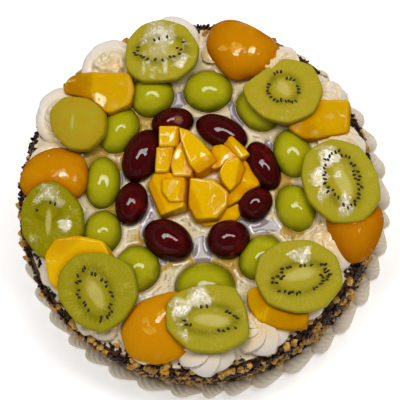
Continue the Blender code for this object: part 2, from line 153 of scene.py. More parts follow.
class Tree:
    """Adds nodes to a node tree: settings first, then the sockets' values or links."""

    def __init__(self, nodes: bpy.types.NodeTree) -> None:
        """Wraps one shader or geometry tree."""
        self.nodes = nodes

    def node(self, kind: str, settings: dict[str, Any] | None = None,
             sockets: dict[str, Any] | None = None) -> bpy.types.Node:
        """Makes one node.

        Args:
            kind: The node's type.
            settings: Attributes to set before the sockets exist in their final form.
            sockets: Values or links by a socket's identifier, name or number.

        Returns:
            The node.
        """
        made = self.nodes.nodes.new(kind)
        for key, value in (settings or {}).items():
            setattr(made, key, value)
        for key, value in (sockets or {}).items():
            self.feed(self.socket(made, key), value)
        return made

    def socket(self, node: bpy.types.Node, key: str) -> Socket:
        """Finds one input of a node.

        Args:
            node: The node.
            key: The input's identifier, else its name, else its number.

        Returns:
            The input.
        """
        for kind in ("identifier", "name"):
            found = [s for s in node.inputs if s.enabled and getattr(s, kind) == key]
            if found:
                return found[0]
        return node.inputs[int(key)]

    def feed(self, socket: Socket, value: Any) -> None:
        """Links or sets a socket.

        Args:
            socket: The input to feed.
            value: A socket or a Num to link, or a plain value to set.
        """
        if isinstance(value, Num):
            value = value.socket
        if isinstance(value, Socket):
            self.nodes.links.new(value, socket)
        elif isinstance(value, tuple) and socket.type == "RGBA":
            socket.default_value = (*value, 1.0)
        else:
            socket.default_value = value


class Paint(Tree):
    """One material: a Principled shader and what feeds it, with lengths in millimetres."""

    def __init__(self, name: str, **constants: Any) -> None:
        """Makes the material with its shader.

        Args:
            name: The material's name.
            constants: Values of the shader's sockets, by their names with _ for a space.
        """
        self.material = bpy.data.materials.new(name)
        self.material.use_nodes = True
        super().__init__(self.material.node_tree)
        self.shader = self.nodes.nodes["Principled BSDF"]
        for key, value in constants.items():
            self.feed(self.shader.inputs[key.replace("_", " ").title().replace("Ior", "IOR")], value)
        coordinates = self.node("ShaderNodeTexCoord")
        self.place = self.node("ShaderNodeVectorMath", {"operation": "SCALE"}, {
            "Vector": coordinates.outputs["Object"], "Scale": 1 / MM}).outputs[0]

    def attribute(self, name: str) -> Num:
        """A number that the mesh holds at each point."""
        return Num(self, self.node("ShaderNodeAttribute", {"attribute_name": name}).outputs["Fac"])

    def vector(self, name: str) -> Socket:
        """A vector that the mesh holds at each point."""
        return self.node("ShaderNodeAttribute", {"attribute_name": name}).outputs["Vector"]

    def reach(self) -> Num:
        """How far the surface is from the cake's axis.

        Returns:
            The distance in millimetres.
        """
        axes = self.node("ShaderNodeSeparateXYZ", {}, {"Vector": self.place}).outputs
        x, y = Num(self, axes["X"]), Num(self, axes["Y"])
        return (x * x + y * y) ** 0.5

    def stretch(self, vector: Socket, scale: Triple, shift: Triple = (0.0, 0.0, 0.0)) -> Socket:
        """A vector scaled along its axes, then shifted."""
        return self.node("ShaderNodeVectorMath", {"operation": "MULTIPLY_ADD"},
                         {"0": vector, "1": scale, "2": shift}).outputs[0]

    def noise(self, size: float, detail: float = 2.0, at: Socket | None = None, twist: float = 0.0) -> Num:
        """Cloudy noise about 0.5.

        Args:
            size: Width of a cloud in millimetres.
            detail: How many finer layers it has.
            at: Where it is read, or the object's own place.
            twist: How far the clouds are folded.

        Returns:
            The noise, from 0 to 1.
        """
        sockets = {"Vector": at or self.place, "Scale": 1 / size, "Detail": detail, "Distortion": twist}
        return Num(self, self.node("ShaderNodeTexNoise", {}, sockets).outputs[0])

    def cells(self, size: float, at: Socket | None = None) -> Num:
        """Distance to the nearest of scattered points, size millimetres apart."""
        sockets = {"Vector": at or self.place, "Scale": 1 / size}
        return Num(self, self.node("ShaderNodeTexVoronoi", {"feature": "F1"}, sockets).outputs["Distance"])

    def mix(self, share: Any, first: Any, second: Any, way: str = "MIX") -> Socket:
        """Mixes two colours.

        Args:
            share: How much there is of the second, from 0 to 1.
            first: The first colour.
            second: The second colour.
            way: The Mix node's way of mixing.

        Returns:
            The mixed colour.
        """
        node = self.node("ShaderNodeMix", {"data_type": "RGBA", "blend_type": way, "clamp_factor": True},
                         {"Factor_Float": share, "A_Color": first, "B_Color": second})
        return [s for s in node.outputs if s.identifier == "Result_Color"][0]

    def tint(self, share: Any, first: Any, factor: Any) -> Socket:
        """A colour multiplied by a factor at share 1 and unchanged at share 0."""
        return self.mix(share, first, factor, "MULTIPLY")

    def bump(self, height: Num, depth: float, strength: float = 1.0) -> Socket:
        """A normal from relief depth millimetres deep."""
        sockets = {"Height": height, "Distance": depth * MM, "Strength": strength}
        return self.node("ShaderNodeBump", {}, sockets).outputs[0]

    def finish(self, **varying: Any) -> Material:
        """Feeds what varies over the surface.

        Args:
            varying: What feeds the shader's sockets, by their names with _ for a space.

        Returns:
            The finished material.
        """
        for key, value in varying.items():
            self.feed(self.shader.inputs[key.replace("_", " ").title()], value)
        return self.material


# Finishes


@dataclass(frozen=True)
class CreamFinish:
    """Whipped cream, yellow where the glaze has run over it, and yellower in the rosettes' hollows as painted
    shade.
    """

    name: str
    cream: Colour = (0.775, 0.72, 0.645)
    shade: Colour = (0.78, 0.69, 0.50)
    stain: Colour = (0.82, 0.62, 0.32)
    stain_outer: float = 116.0
    stain_inner: float = 96.0
    wander: float = 22.0

    def material(self) -> Material:
        """Cream with fine pores, and a stain that grows towards the middle of the cake.

        Returns:
            The material.
        """
        paint = Paint(self.name, subsurface_weight=0.12, subsurface_scale=0.003,
                      subsurface_radius=(1.0, 0.8, 0.65), specular_ior_level=0.15)
        clouds = paint.noise(9.0, 3.0, twist=0.6)
        edge = paint.reach() + clouds * self.wander - self.wander / 2
        stained = edge.step(self.stain_outer, self.stain_inner)
        # Mottled by noise, and yellower where a rosette is stained, most in its hollows, where this is
        # painted shade.
        mottled = paint.mix(paint.noise(14.0, 2.0).step(0.45, 0.75) * 0.6 + paint.attribute("stain_and_hollow_shade") * 0.8,
                            self.cream, self.shade)
        runs = stained * clouds.step(0.27, 0.48)
        colour = paint.mix(runs * 0.9, mottled, self.stain)
        pores = paint.noise(0.9, 3.0)
        normal = paint.bump(pores + paint.noise(3.5, 2.0) * 1.2, 0.22)
        return paint.finish(base_color=colour, roughness=0.55 - runs * 0.38, coat_weight=runs * 0.8,
                            normal=normal)


@dataclass(frozen=True)
class PoolFinish:
    """Cream under a set glaze: pale where only wet, amber with syrup, a dark mirror partly painted as a
    reflection where it is still.
    """

    cream: Colour = (0.63, 0.53, 0.30)
    curd: Colour = (0.73, 0.63, 0.43)
    amber: Colour = (0.46, 0.295, 0.045)
    fresh: Colour = (0.78, 0.69, 0.52)
    painted_contact_shade: Colour = (0.42, 0.28, 0.10)
    # Still glaze: lavender-grey, partly a painted reflection of the light
    deep: Colour = (0.27, 0.22, 0.23)
    shade: Colour = (0.24, 0.17, 0.035)
    painted_glint: Colour = (0.74, 0.72, 0.76)
    speck: Colour = (0.08, 0.04, 0.02)
    fresh_inner: float = 88.0
    fresh_outer: float = 100.0

    def material(self) -> Material:
        """Reads the glaze's zones and the fruit's nearness from the mesh; adds curds, specks and painted
        glints and shade.

        Returns:
            The material.
        """
        paint = Paint("glazed_cream", specular_ior_level=0.0, coat_roughness=0.015, coat_ior=1.43)
        still, syrup, near, line = (paint.attribute(name) for name in ("still", "syrup", "near", "line"))
        clouds = paint.noise(9.0, 2.0, twist=1.0)
        wisps = paint.noise(5.0, 3.0, twist=1.5)
        stray = wisps - 0.5
        outer = (paint.reach() + stray * 16).step(self.fresh_inner, self.fresh_outer)
        colour = paint.mix((clouds + stray * 0.4).step(0.45, 0.62), self.cream, self.curd)
        colour = paint.mix(outer * 0.8, colour, self.fresh)
        soaked = (syrup + near * 0.5 + stray * 0.9).step(0.0, 0.35)
        colour = paint.mix(soaked, colour, self.amber)
        spread = still + stray * 0.35
        mirror = spread.step(0.0, 0.07)
        # Painted highlight: white glints round the edge of the still glaze.
        colour = paint.mix(spread.step(-0.16, -0.03) * clouds.step(0.3, 0.6) * 0.8, colour, self.painted_glint)
        # The still glaze gets a lavender-grey colour, partly a painted reflection, under a real mirror coat.
        colour = paint.mix(mirror, colour, self.deep)
        # Painted shadow: a dark line a few millimetres out from the fruit.
        shore = near.step(0.12, 0.19) * near.step(0.36, 0.26) * clouds.step(0.5, 0.62)
        colour = paint.mix(shore * 0.65, colour, self.shade)
        # Painted highlight: white glints along the low ridge a little way out from each fruit.
        colour = paint.mix((line + stray * 1.6).step(0.4, 0.75) * 0.8, colour, self.painted_glint)
        # Painted shade where the glaze meets the fruit.
        colour = paint.tint(near.step(0.55, 0.85) * 0.6, colour, self.painted_contact_shade)
        colour = paint.mix(paint.cells(6.5).step(0.07, 0.04), colour, self.speck)
        relief = (wisps * 1.5 + paint.noise(2.2, 2.0) * 0.4) * (1 - mirror) * (1 - soaked * 0.6)
        return paint.finish(base_color=colour, roughness=0.5 - near * 0.1,
                            coat_weight=mirror * 0.5 + soaked * 0.15 + line * 0.5 + 0.25,
                            normal=paint.bump(relief, 0.5))


@dataclass(frozen=True)
class KiwiFinish:
    """Peeled kiwi: olive flesh with faint rays, a pale core and wet smears of creamy glaze, with foam and
    painted glints on them.
    """

    flesh: Colour = (0.40, 0.335, 0.018)
    ripe: Colour = (0.265, 0.235, 0.002)
    gold: Colour = (0.46, 0.285, 0.008)
    rim: Colour = (0.90, 0.95, 0.6)
    ring: Colour = (0.175, 0.150, 0.003)
    ray: Colour = (0.48, 0.42, 0.06)
    core: Colour = (0.56, 0.49, 0.13)
    smear: Colour = (0.60, 0.54, 0.31)
    foam_and_glint: Colour = (0.76, 0.72, 0.60)

    def material(self) -> Material:
        """Reads the place on the slice, the core, the seed ring and the smears from the mesh.

        Returns:
            The material.
        """
        paint = Paint("kiwi_flesh", subsurface_weight=0.15, subsurface_scale=0.003,
                      subsurface_radius=(1.0, 0.9, 0.3), coat_roughness=0.06, coat_ior=1.42,
                      specular_ior_level=0.0)
        local = paint.vector("local")
        share, core, ripe, ring, smear = (
            paint.attribute(name) for name in ("share", "core", "ripe", "ring", "smear"))
        outward = paint.node("ShaderNodeVectorMath", {"operation": "NORMALIZE"}, {"0": local}).outputs[0]
        rays = paint.noise(0.05, 2.0, at=paint.stretch(outward, (1.0, 1.0, 0.0), (3.1, 0.0, 0.0)))
        fine = paint.noise(0.8, 3.0, at=local)
        clouds = paint.noise(8.0, 2.0, at=local)
        drift, grit = clouds - 0.5, fine - 0.5
        gold = (drift * 1.2 - ripe).step(0.1, 0.9) * ripe.step(-0.1, -0.4)
        streaks = rays * 1.1 - 0.25 + grit * 0.7 + drift * 0.5
        colour = paint.mix(gold, paint.mix(ripe.step(0.0, 1.0), self.flesh, self.ripe), self.gold)
        edge = (share + drift * 0.3).step(0.78, 1.0)
        colour = paint.tint(edge, colour, self.rim)
        rayed = share.step(0.2, 0.5) * share.step(1.0, 0.75) * (1 - gold) * 0.8
        colour = paint.mix(streaks.step(0.25, 0.75) * rayed, colour, self.ray)
        colour = paint.mix(ring * (1 - streaks.step(0.3, 0.7) * 0.7) * 0.75, colour, self.ring)
        ragged = (core + grit * 0.5 + (rays - 0.5) * 0.9 + drift * 0.7) * core.step(0.0, 0.2)
        colour = paint.mix(ragged.step(0.15, 1.0) * 0.95, colour, self.core)
        swirls = paint.noise(8.0, 2.0, at=local, twist=0.8)
        wrinkles = paint.noise(7.0, 2.0, at=local, twist=1.5)
        smeared = (smear + (swirls - 0.5) * 1.3).step(0.3, 0.65)
        colour = paint.mix(smeared * (clouds * 0.6 + 0.15), colour, self.smear)
        # Bright creases and patches on the smears: creamy foam, and painted highlights on the wrinkled glaze.
        crease = ((wrinkles - 0.5) ** 2.0).step(0.0016, 0.0002) * swirls.step(0.42, 0.6)
        patch = (smear + (wrinkles - 0.5) * 2.2).step(0.86, 1.0)
        colour = paint.mix((crease * smeared).highest(patch) * 0.9, colour, self.foam_and_glint)
        normal = paint.bump(wrinkles + fine * 0.12 + smeared * 0.3 + swirls * smear * 3.5, 0.9, 0.5)
        wet = share.step(0.86, 0.94) * 0.15 + smeared * 0.75 + wrinkles.step(0.6, 0.68) * 0.12
        return paint.finish(base_color=colour, roughness=0.5 + fine * 0.1, coat_weight=wet, normal=normal)


@dataclass(frozen=True)
class FleshFinish:
    """Apricot or mango: smooth flesh, deeper low down and along its edges as painted shade, under a glaze."""

    name: str
    flesh: Colour
    deep: Colour
    pale: Colour
    fibre: float
    grain: float = 12.0
    wet: float = 0.25
    waves: float = 0.35
    glow: float = 0.15
    shadow: Colour = (0.7, 0.46, 0.12)
    rim: float = 0.45
    gleam: Colour = (0.90, 0.62, 0.16)

    def material(self) -> Material:
        """Reads how near the surface is to the fruit's top from the mesh, and adds soft clouds and fibres.

        Returns:
            The material.
        """
        paint = Paint(self.name, subsurface_weight=self.glow, subsurface_scale=0.003,
                      subsurface_radius=(1.0, 0.5, 0.1), coat_roughness=0.06, coat_ior=1.42,
                      specular_ior_level=0.0)
        local, height = paint.vector("local"), paint.attribute("height")
        clouds = paint.noise(self.grain, 2.0, at=local)
        fibres = paint.noise(0.9, 2.0, at=paint.stretch(local, (1.0, 0.16, 0.5)))
        tone = paint.attribute("tone")
        # Painted shade: deeper colour low down, and where the tone is low, as on facets that slope away from
        # a ridge.
        colour = paint.mix((height + (clouds - 0.5) * 0.6 + tone).step(0.9, 0.2), self.flesh, self.deep)
        colour = paint.mix((clouds + (fibres - 0.5) * self.fibre).step(0.56, 0.74) * 0.55, colour, self.pale)
        colour = paint.mix(tone.step(0.0, 0.6), colour, self.pale)
        colour = paint.tint(paint.attribute("contact"), colour, self.shadow)
        folds = paint.noise(6.0, 2.0, at=local, twist=1.0)
        normal = paint.bump(fibres * self.fibre + folds, self.waves, 0.6)
        # Wet spots get a real coat and a painted highlight in the gleam colour.
        spots = (paint.attribute("wet") + (folds - 0.5) * 1.4).step(-0.05, 0.15)
        colour = paint.mix(spots * (folds * 1.6 - 0.4), colour, self.gleam)
        gloss = spots + paint.attribute("edge") * self.rim + folds.step(0.54, 0.6) * self.wet
        return paint.finish(base_color=colour, roughness=0.45 + clouds * 0.1, coat_weight=gloss,
                            normal=normal)


@dataclass(frozen=True)
class GrapeFinish:
    """Grape skin under a glaze: lit on top, darker down its sides, with faint specks."""

    name: str
    top: Colour
    side: Colour
    glow: Colour
    speck: Colour
    scatter: float
    shadow: Colour = (0.5, 0.5, 0.2)
    scar_rim: Colour = (0.30, 0.10, 0.09)
    scar_pit: Colour = (0.20, 0.14, 0.02)

    def material(self) -> Material:
        """Reads the height on the grape and its stalk scar from the mesh, and adds veins and specks.

        Returns:
            The material.
        """
        paint = Paint(self.name, subsurface_weight=self.scatter, subsurface_scale=0.004,
                      coat_roughness=0.03, coat_ior=1.42, specular_ior_level=0.0)
        local, height = paint.vector("local"), paint.attribute("height")
        clouds = paint.noise(11.0, 2.0, at=local)
        veins = paint.noise(1.6, 2.0, at=paint.stretch(local, (0.25, 1.0, 1.0)))
        colour = paint.mix((height + (clouds - 0.5) * 0.35).step(0.3, 0.9), self.side, self.top)
        colour = paint.mix((clouds + (veins - 0.5) * 0.4).step(0.52, 0.78) * 0.6, colour, self.glow)
        colour = paint.mix(paint.cells(2.6, at=local).step(0.12, 0.05) * 0.5, colour, self.speck)
        scar = paint.attribute("scar")
        ragged = scar + (paint.noise(2.5, 2.0, at=local) - 0.5) * scar.step(0.0, 0.3) * 0.7
        colour = paint.mix(ragged.step(0.1, 0.55) * 0.6, colour, self.scar_rim)
        colour = paint.mix(ragged.step(0.6, 0.85), colour, self.scar_pit)
        colour = paint.tint(paint.attribute("contact"), colour, self.shadow)
        wet = (height.step(0.8, 0.93) * 0.55 + 0.4) * (1 - scar.step(0.3, 0.6))
        return paint.finish(base_color=colour, roughness=0.4 + clouds * 0.1, coat_weight=wet)


@dataclass(frozen=True)
class GrainFinish:
    """Loose dry or glossy grains: a colour that changes from grain to grain."""

    name: str
    dark: Colour
    light: Colour
    rare: Colour
    rough: float
    size: float
    rarity: float = 0.72
    gloss: float = 0.5

    def material(self) -> Material:
        """Each few millimetres take another shade between the dark and the light colour.

        Returns:
            The material.
        """
        paint = Paint(self.name, specular_ior_level=self.gloss)
        shade = paint.noise(self.size, 2.0)
        colour = paint.mix(shade.step(0.35, 0.66), self.dark, self.light)
        colour = paint.mix(paint.noise(self.size * 2.3, 1.0).step(self.rarity, self.rarity + 0.03), colour,
                           self.rare)
        relief = paint.noise(0.5, 2.0)
        return paint.finish(base_color=colour, roughness=self.rough + (shade - 0.5) * 0.2,
                            normal=paint.bump(relief, 0.12, 0.6))


CREAM = CreamFinish("piped_cream")
FOOT_CREAM = CreamFinish("foot_cream", cream=(0.83, 0.745, 0.60), shade=(0.71, 0.59, 0.41),
                         stain_outer=100.0, stain_inner=80.0)
APRICOT = FleshFinish("apricot_flesh", (0.56, 0.222, 0.0015), (0.42, 0.14, 0.001), (0.64, 0.27, 0.002),
                      fibre=0.15, grain=16.0, wet=0.4, waves=0.5, gleam=(0.84, 0.47, 0.05))
MANGO = FleshFinish("mango_flesh", (0.63, 0.35, 0.001), (0.44, 0.19, 0.001), (0.76, 0.46, 0.003),
                    fibre=0.45, wet=0.12, rim=0.12)
CHUNK_MANGO = FleshFinish("mango_chunk_flesh", (0.78, 0.46, 0.001), (0.64, 0.29, 0.001),
                          (0.84, 0.53, 0.004), fibre=0.4, grain=9.0, wet=0.5, waves=0.45, glow=0.5,
                          shadow=(0.85, 0.6, 0.16))
GREEN_GRAPE = GrapeFinish("green_grape_skin", (0.40, 0.38, 0.005), (0.14, 0.135, 0.001),
                          (0.48, 0.45, 0.02), (0.20, 0.16, 0.005), scatter=0.2)
RED_GRAPE = GrapeFinish("red_grape_skin", (0.052, 0.0015, 0.002), (0.014, 0.001, 0.001),
                        (0.17, 0.004, 0.005), (0.20, 0.04, 0.03), scatter=0.08)
STRANDS = GrainFinish("chocolate_strands", (0.009, 0.0025, 0.0015), (0.065, 0.022, 0.010),
                      (0.16, 0.06, 0.01), rough=0.3, size=3.0, rarity=0.66, gloss=0.18)
NUTS = GrainFinish("chopped_nuts", (0.28, 0.13, 0.018), (0.70, 0.41, 0.10), (0.58, 0.28, 0.01),
                   rough=0.6, size=4.0, rarity=0.64, gloss=0.2)
SEEDS = GrainFinish("kiwi_seeds", (0.010, 0.002, 0.004), (0.035, 0.010, 0.010), (0.08, 0.03, 0.02),
                    rough=0.3, size=2.0, rarity=0.72, gloss=0.25)
# Crumb dark enough to serve as painted shade where the drum shows between strands and nuts.
CRUMB_AND_GAP_SHADE = GrainFinish("dark_crumb_and_gap_shade", (0.02, 0.009, 0.004), (0.14, 0.075, 0.03), (0.30, 0.20, 0.10),
                    rough=0.8, size=3.0, rarity=0.66, gloss=0.1)


# Geometry


def around(count: int) -> Array:
    """Angles of count points evenly round a circle."""
    return np.arange(count) * 2 * math.pi / count


def lathed(profile: Iterable[Point], columns: int) -> Array:
    """Rings of points round the cake's axis, from the radius and height of each ring."""
    turn = around(columns)
    return np.stack([np.stack([r * np.cos(turn), r * np.sin(turn), turn * 0 + z], -1) for r, z in profile])


def ripples(points: Array, size: float, seed: float = 0.0) -> Array:
    """Smooth noise at each point.

    Args:
        points: The points, along the last axis.
        size: Width of a cloud, in the points' unit.
        seed: Another number gives other clouds.

    Returns:
        The noise, from about -1 to 1.
    """
    shift = Vector([seed * step for step in SEED_SHIFT])
    found = [noise.noise(Vector(point) / size + shift) for point in points.reshape(-1, 3)]
    return np.array(found).reshape(points.shape[:-1])


def smooth(low: float, high: float, values: Array) -> Array:
    """A smooth step from 0 at low to 1 at high."""
    share = np.clip((values - low) / (high - low), 0.0, 1.0)
    return share * share * (3 - 2 * share)


def reach_in(points: Array, oval: Oval) -> Array:
    """How far each point is from an oval's middle.

    Args:
        points: The points, along the last axis.
        oval: The oval.

    Returns:
        The distances, 1 at the oval's rim.
    """
    x, y, long, wide, heading = oval
    turn = math.radians(heading)
    along = (points[..., 0] - x) * math.cos(turn) + (points[..., 1] - y) * math.sin(turn)
    across = (points[..., 1] - y) * math.cos(turn) - (points[..., 0] - x) * math.sin(turn)
    return np.hypot(along / long, across / wide)


def within(points: Array, spots: Iterable[Oval]) -> Array:
    """How far inside the nearest of some ovals each point is.

    Args:
        points: The points, along the last axis.
        spots: The ovals.

    Returns:
        1 in an oval's middle, 0 at its rim and less outside it.
    """
    inside = np.full(points.shape[:-1], FAR_OUTSIDE)
    for spot in spots:
        inside = np.maximum(inside, 1 - reach_in(points, spot))
    return inside


def rounded(corners: Sequence[Point], steps: int) -> Array:
    """The smooth closed curve through a list of corners.

    Args:
        corners: The corners.
        steps: How many points each corner gets.

    Returns:
        The points of the curve.
    """
    here = np.array(corners, float)
    before, there, after = (np.roll(here, -k, 0) for k in (-1, 1, 2))
    points = []
    for step in range(steps):
        t = step / steps
        along = (there - before) * t + (2 * before - 5 * here + 4 * there - after) * t**2
        points.append(here + 0.5 * (along + (3 * here - before - 3 * there + after) * t**3))
    return np.stack(points, 1).reshape(-1, 2)


def blunt(corners: Sequence[Point], steps: int, flat: float) -> Array:
    """The smooth closed curve through a list of corners, pressed towards its straight sides.

    Args:
        corners: The corners.
        steps: How many points each corner gets.
        flat: How far it is pressed, from 0 for the curve to 1 for the sides.

    Returns:
        The points of the curve.
    """
    curve = rounded(corners, steps)
    here = np.array(corners, float)
    there = np.roll(here, -1, 0)
    share = (np.arange(steps) / steps)[None, :, None]
    chords = (here[:, None] * (1 - share) + there[:, None] * share).reshape(-1, 2)
    return curve * (1 - flat) + chords * flat


def filleted(corners: Sequence[Point], radius: float, spacing: float) -> Array:
    """A polygon with its corners rounded off and its long edges divided.

    Args:
        corners: The polygon.
        radius: How far back from a corner its rounding starts.
        spacing: The longest stretch without a point.

    Returns:
        The points of the outline.
    """
    points: list[Array] = []
    count = len(corners)
    for i in range(count):
        before, here, after = (np.array(corners[(i + k) % count], float) for k in (-1, 0, 1))
        back, on = before - here, after - here
        long_back, long_on = np.linalg.norm(back), np.linalg.norm(on)
        start = here + back / long_back * min(radius, 0.4 * long_back)
        end = here + on / long_on * min(radius, 0.4 * long_on)
        points += [start * (1 - t) ** 2 + here * 2 * t * (1 - t) + end * t * t
                   for t in (0, 0.25, 0.5, 0.75, 1)]
        far = after - on / long_on * min(radius, 0.4 * long_on)
        parts = max(1, round(float(np.linalg.norm(far - end)) / spacing))
        points += [end + (far - end) * k / parts for k in range(1, parts)]
    return np.array(points)


def hold(mesh: bpy.types.Mesh, name: str, values: Array) -> None:
    """Stores a number or a vector at each point of a mesh.

    Args:
        mesh: The mesh.
        name: What the materials and trees read it by.
        values: A number, or a row of three, for each point.
    """
    kind, key = ("FLOAT_VECTOR", "vector") if values.ndim == 2 else ("FLOAT", "value")
    mesh.attributes.new(name, kind, "POINT").data.foreach_set(key, values.astype(np.float32).ravel())


def surface(name: str, rings: Array, start: Sequence[float] | None = None,
            end: Sequence[float] | None = None, values: dict[str, Array] | None = None,
            hoop: bool = False) -> Piece:
    """A closed smooth mesh through rings of points.

    Args:
        name: The object's name.
        rings: Points as rows x columns x 3. Columns close round.
        start: The pole that closes the first ring.
        end: The pole that closes the last ring.
        values: What each point holds for its material, in the order of the points, poles last.
        hoop: Whether the last ring joins the first.

    Returns:
        The object, not yet in the scene, with its faces outwards.
    """
    rows, columns = rings.shape[:2]
    index = np.arange(rows * columns).reshape(rows, columns)
    low = index if hoop else index[:-1]
    high = np.roll(index, -1, 0) if hoop else index[1:]
    quads = np.stack([low, np.roll(low, -1, 1), np.roll(high, -1, 1), high], -1).reshape(-1, 4).tolist()
    points = rings.reshape(-1, 3)
    for ring, pole in ((index[0][::-1], start), (index[-1], end)):
        if pole is not None:
            quads += [(int(a), int(b), len(points)) for a, b in zip(ring, np.roll(ring, -1))]
            points = np.vstack([points, pole])
    triangles = np.array([(f[0], f[k], f[k + 1]) for f in quads for k in range(1, len(f) - 1)])
    if np.einsum("ij,ij->", points[triangles[:, 0]],
                 np.cross(points[triangles[:, 1]], points[triangles[:, 2]])) < 0:
        quads = [tuple(reversed(f)) for f in quads]
    mesh = bpy.data.meshes.new(name)
    mesh.from_pydata(points.tolist(), [], quads)
    mesh.shade_smooth()
    for key, held in (values or {}).items():
        hold(mesh, key, held)
    return bpy.data.objects.new(name, mesh)


def mark_contacts(pieces: Sequence[Piece], reach: float = 4.0, fade: float = 1.5) -> None:
    """Stores at each point of each piece how near another piece is: 1 where they touch, 0 far off.

    Args:
        pieces: The pieces, whose points get the number as "contact".
        reach: The longest distance looked at, in millimetres.
        fade: The distance in millimetres over which the number falls to about a third.
    """
    forms = []
    for obj in pieces:
        points = [vertex.co.copy() for vertex in obj.data.vertices]
        tree = BVHTree.FromPolygons(points, [tuple(face.vertices) for face in obj.data.polygons])
        cloud = np.array(points)
        forms.append((obj, points, tree, cloud.min(0) - reach * MM, cloud.max(0) + reach * MM, cloud))
    for obj, points, _, low, high, cloud in forms:
        contact = np.zeros(len(points))
        for other, _, tree, others_low, others_high, _ in forms:
            if other is obj or (low > others_high).any() or (high < others_low).any():
                continue
            inside = ((cloud > others_low) & (cloud < others_high)).all(1)
            for i in np.flatnonzero(inside):
                found = tree.find_nearest(points[i], reach * MM)
                if found[0] is not None:
                    contact[i] = max(contact[i], math.exp(-found[3] / MM / fade))
        hold(obj.data, "contact", contact)


def dress(obj: Piece, material: Material, nodes: Iterable[str] = ()) -> None:
    """Puts a finished piece into the scene.

    Args:
        obj: The piece, with its place in its mesh.
        material: Its finish.
        nodes: The nodes of the frame that it stands for.
    """
    obj.data.materials.clear()
    obj.data.materials.append(material)
    bpy.context.scene.collection.objects.link(obj)
    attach(obj, BODY)
    if nodes:
        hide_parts(*nodes)
    log.info("%s: %d faces", obj.name, len(obj.data.polygons))


@dataclass(frozen=True)
class Spot:
    """Where a fruit lies: its middle, its base's height over the cake's top, its heading and its lean."""

    x: float
    y: float
    base: float = 0.0
    heading: float = 0.0
    lean: float = 0.0

    def matrix(self) -> Matrix:
        """Turns the fruit's own millimetres into its place on the cake.

        Returns:
            The matrix for the fruit's mesh.
        """
        towards = math.atan2(self.y, self.x)
        tip = Matrix.Rotation(math.radians(self.lean), 4, (-math.sin(towards), math.cos(towards), 0))
        turn = Matrix.Rotation(math.radians(self.heading), 4, "Z")
        move = Matrix.Translation((self.x * MM, self.y * MM, (CAKE_HEIGHT + GAP + self.base) * MM))
        return move @ tip @ turn @ Matrix.Scale(MM, 4)


# Fruit


@dataclass(frozen=True)
class SeedRing:
    """The seeds of a slice: an oval, and arcs along it or beside it.

    An arc gives the angles that it runs from and to, how many seeds it has, and how far out they lie, where
    the oval's rim is at 1.
    """

    oval: Oval
    arcs: tuple[tuple[float, float, int, float], ...]


@dataclass(frozen=True)
class Core:
    """The pale core of a slice. Strength 0 leaves it out."""

    oval: Oval
    strength: float = 1.0


@dataclass(frozen=True)
class Slice:
    """One kiwi slice: where it lies, its form, its outline and its markings."""

    name: str
    spot: Spot
    droop: float
    crown: float
    corners: tuple[Point, ...]
    seeds: SeedRing | None
    core: Core
    ripe: float = 0.0
    smears: tuple[Smear, ...] = ()


